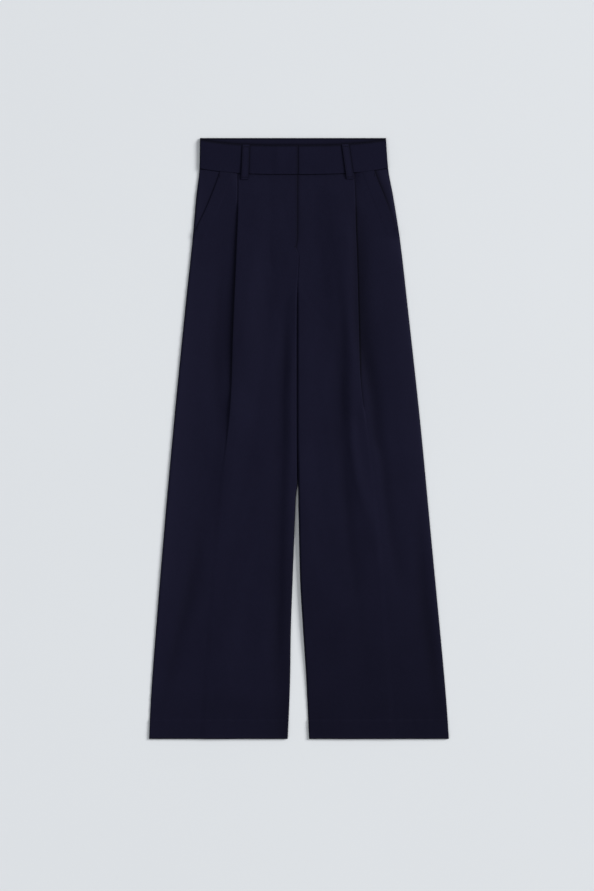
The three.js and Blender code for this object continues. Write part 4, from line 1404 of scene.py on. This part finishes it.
def suiting(name, dark, light, threads=2000.0, sheen=0.03, painted_highlight_strength=0.2):
    """Navy suiting: woven and mottled by pressing, with a painted highlight standing for a pressed shine, and
    a lower roughness, along its pressed edges, and painted shade in its seams, folds and hollows.
    """
    material, tree, shader = new_material(name)
    cloth = tree.nodes.new("ShaderNodeUVMap")
    cloth.uv_map = "cloth"
    place = tree.nodes.new("ShaderNodeTexCoord")
    weave = use_group(tree, WEAVE)
    feed(tree, weave.inputs["Threads"], threads)
    feed(tree, weave.inputs["Cloth"], cloth.outputs[0])
    handling = use_group(tree, HANDLING)
    feed(tree, handling.inputs["Place"], place.outputs["Object"])
    press_and_painted_highlight, painted_shade = mark_value(tree, "press_and_painted_highlight"), mark_value(tree, "painted_shade")

    mottle = handling.outputs["Mottle"]
    ramp = add_node(tree, "ShaderNodeMapRange", From_Min=0.3, From_Max=0.7, Value=mottle)
    colour = blend_colour(tree, "MIX", ramp.outputs["Result"], (*dark, 1), (*light, 1))
    tone = add_node(tree, "ShaderNodeMapRange", To_Min=0.62, To_Max=1.3, Value=weave.outputs["Tone"])
    grey = tree.nodes.new("ShaderNodeCombineColor")
    for channel in grey.inputs:
        tree.links.new(tone.outputs["Result"], channel)
    colour = blend_colour(tree, "MULTIPLY", 1.0, colour, grey.outputs[0])
    # Painted highlight: along pressed edges the colour is mixed towards a much lighter navy.
    painted_highlight = math_node(tree, "MULTIPLY", press_and_painted_highlight, painted_highlight_strength)
    colour = blend_colour(tree, "MIX", painted_highlight, colour, tinted(light, 2.2, 2.2, 2.0))
    # Painted shade: seams, folds, hollows and edges are darkened towards a near-black navy.
    deep = math_node(tree, "MULTIPLY", painted_shade, 0.8)
    colour = blend_colour(tree, "MIX", deep, colour, tinted(dark, 0.1, 0.1, 0.12))
    rough = math_node(tree, "MULTIPLY_ADD", mottle, 0.16, 0.76)
    rough = math_node(tree, "SUBTRACT", rough, math_node(tree, "MULTIPLY", press_and_painted_highlight, 0.12), clamp=True)

    crease = add_node(
        tree, "ShaderNodeBump", Strength=0.35, Distance=0.0012, Height=handling.outputs["Creases"])
    yarn = add_node(
        tree, "ShaderNodeBump", Strength=0.4, Distance=0.00012, Height=weave.outputs["Height"],
        Normal=crease.outputs["Normal"])
    finish = {
        "Base Color": colour, "Roughness": rough, "Normal": yarn.outputs["Normal"],
        "Sheen Weight": sheen, "Sheen Roughness": 0.45, "Sheen Tint": (0.55, 0.6, 1.0, 1),
        "Specular IOR Level": 0.06}
    for label, value in finish.items():
        feed(tree, shader.inputs[label], value)
    return material


def thread_material():
    """Twisted sewing thread in the cloth's own navy."""
    material, tree, shader = new_material("navy thread")
    place = tree.nodes.new("ShaderNodeTexCoord")
    twist = add_node(
        tree, "ShaderNodeTexWave", Scale=900, Distortion=1.5, Vector=place.outputs["Object"])
    twist.bands_direction = "DIAGONAL"
    ply = twist.outputs["Fac"]
    colour = blend_colour(tree, "MIX", ply, (0.0042, 0.0041, 0.0118, 1), (0.0066, 0.0065, 0.0172, 1))
    bump = add_node(tree, "ShaderNodeBump", Strength=0.4, Distance=0.00008, Height=ply)
    finish = {
        "Base Color": colour, "Normal": bump.outputs["Normal"], "Roughness": 0.62,
        "Specular IOR Level": 0.08}
    for label, value in finish.items():
        feed(tree, shader.inputs[label], value)
    return material


def paper_material():
    """The plain pale surface that the trousers lie on."""
    material, tree, shader = new_material("pale paper")
    place = tree.nodes.new("ShaderNodeTexCoord")
    noise = add_node(tree, "ShaderNodeTexNoise", Scale=2.5, Vector=place.outputs["Object"])
    darker, lighter = (0.730, 0.757, 0.786, 1), (0.744, 0.771, 0.800, 1)
    colour = blend_colour(tree, "MIX", noise.outputs["Fac"], darker, lighter)
    finish = {"Base Color": colour, "Roughness": 0.95, "Specular IOR Level": 0.05}
    for label, value in finish.items():
        feed(tree, shader.inputs[label], value)
    return material


LEG_CLOTH = suiting("navy suiting", (0.0060, 0.0058, 0.0174), (0.0075, 0.0073, 0.0204))
BAND_CLOTH = suiting("navy suiting, interfaced", (0.0056, 0.0054, 0.0169), (0.0070, 0.0068, 0.0197))
THREAD = thread_material()


# The pieces.

fronts, backs, hips = {}, {}, {}
for side in SIDES:
    name = side["name"]
    backs[name] = dress(back_leg(side), LEG_CLOTH, "suiting", f"back_leg_{name}")
    hips[name] = dress(pocket_hip(side), LEG_CLOTH, "suiting", f"pocket_hip_{name}")
    fronts[name] = dress(front_leg(side), LEG_CLOTH, "suiting", f"front_leg_{name}")
for side in SIDES:
    dress(waistband_front(side), BAND_CLOTH, "waistband", f"waistband_front_{side['name']}")
dress(waistband_back(), BAND_CLOTH, "waistband", "waistband_back")
for loops, line_of in ((FRONT_LOOPS, front_loop_line), (BACK_LOOPS, back_loop_line)):
    for loop in loops:
        dress(loop_strip(f"{loop['name']}_cloth", line_of(loop)), BAND_CLOTH, "waistband", loop["name"])

bpy.context.view_layer.update()
dress(stitches("belt_loop_stitches", loop_seams()), THREAD, "waistband")
dress(stitches("bartacks", bartack_seams(fronts)), THREAD, "suiting")
dress(stitches("hem_stitches", hem_seams(fronts)), THREAD, "suiting")


# Floor, light and camera, in metres.

bpy.ops.object.select_all(action="DESELECT")
bpy.ops.mesh.primitive_plane_add(size=7, location=(0, 0, -0.0003))
floor = bpy.context.active_object
floor.name = "floor"
floor.data.materials.append(paper_material())

world = bpy.data.worlds.new("soft room")
world.use_nodes = True
room = world.node_tree.nodes["Background"]
room.inputs["Color"].default_value = (0.97, 0.985, 1.0, 1)
room.inputs["Strength"].default_value = 0.34
bpy.context.scene.world = world


def soft_light(name, place, aim, size, watts, colour):
    lamp = bpy.data.lights.new(name, "AREA")
    lamp.size = size
    lamp.energy = watts
    lamp.color = colour
    holder = bpy.data.objects.new(name, lamp)
    bpy.context.collection.objects.link(holder)
    holder.location = place
    away = np.array(place) - np.array(aim)
    tilt = math.acos(away[2] / np.linalg.norm(away))
    holder.rotation_euler = (tilt, 0, math.atan2(away[1], away[0]) + math.pi / 2)


soft_light(
    "window light", place=(15.1, 6.3, 10.4), aim=(0, 0, 0), size=7.7, watts=3840, colour=(1.0, 0.99, 0.98))
soft_light(
    "overhead light", place=(-2.8, -1.4, 4.6), aim=(-0.3, -0.2, 0), size=4.0, watts=60,
    colour=(0.97, 0.985, 1.0))

# The camera looks straight down at the middle of a view this high, with the hems' plane in scale.
VIEW_HEIGHT = 1.6038
VIEW_MIDDLE = (-0.0036, -0.0126)
SCALE_PLANE = 0.004
camera_data = bpy.data.cameras.new("camera")
camera_data.lens = 85
camera_data.sensor_width = 36
camera = bpy.data.objects.new("camera", camera_data)
bpy.context.collection.objects.link(camera)
camera_height = VIEW_HEIGHT * camera_data.lens / camera_data.sensor_width + SCALE_PLANE
camera.location = (*VIEW_MIDDLE, camera_height)
bpy.context.scene.camera = camera
bpy.context.scene.view_settings.view_transform = "Standard"
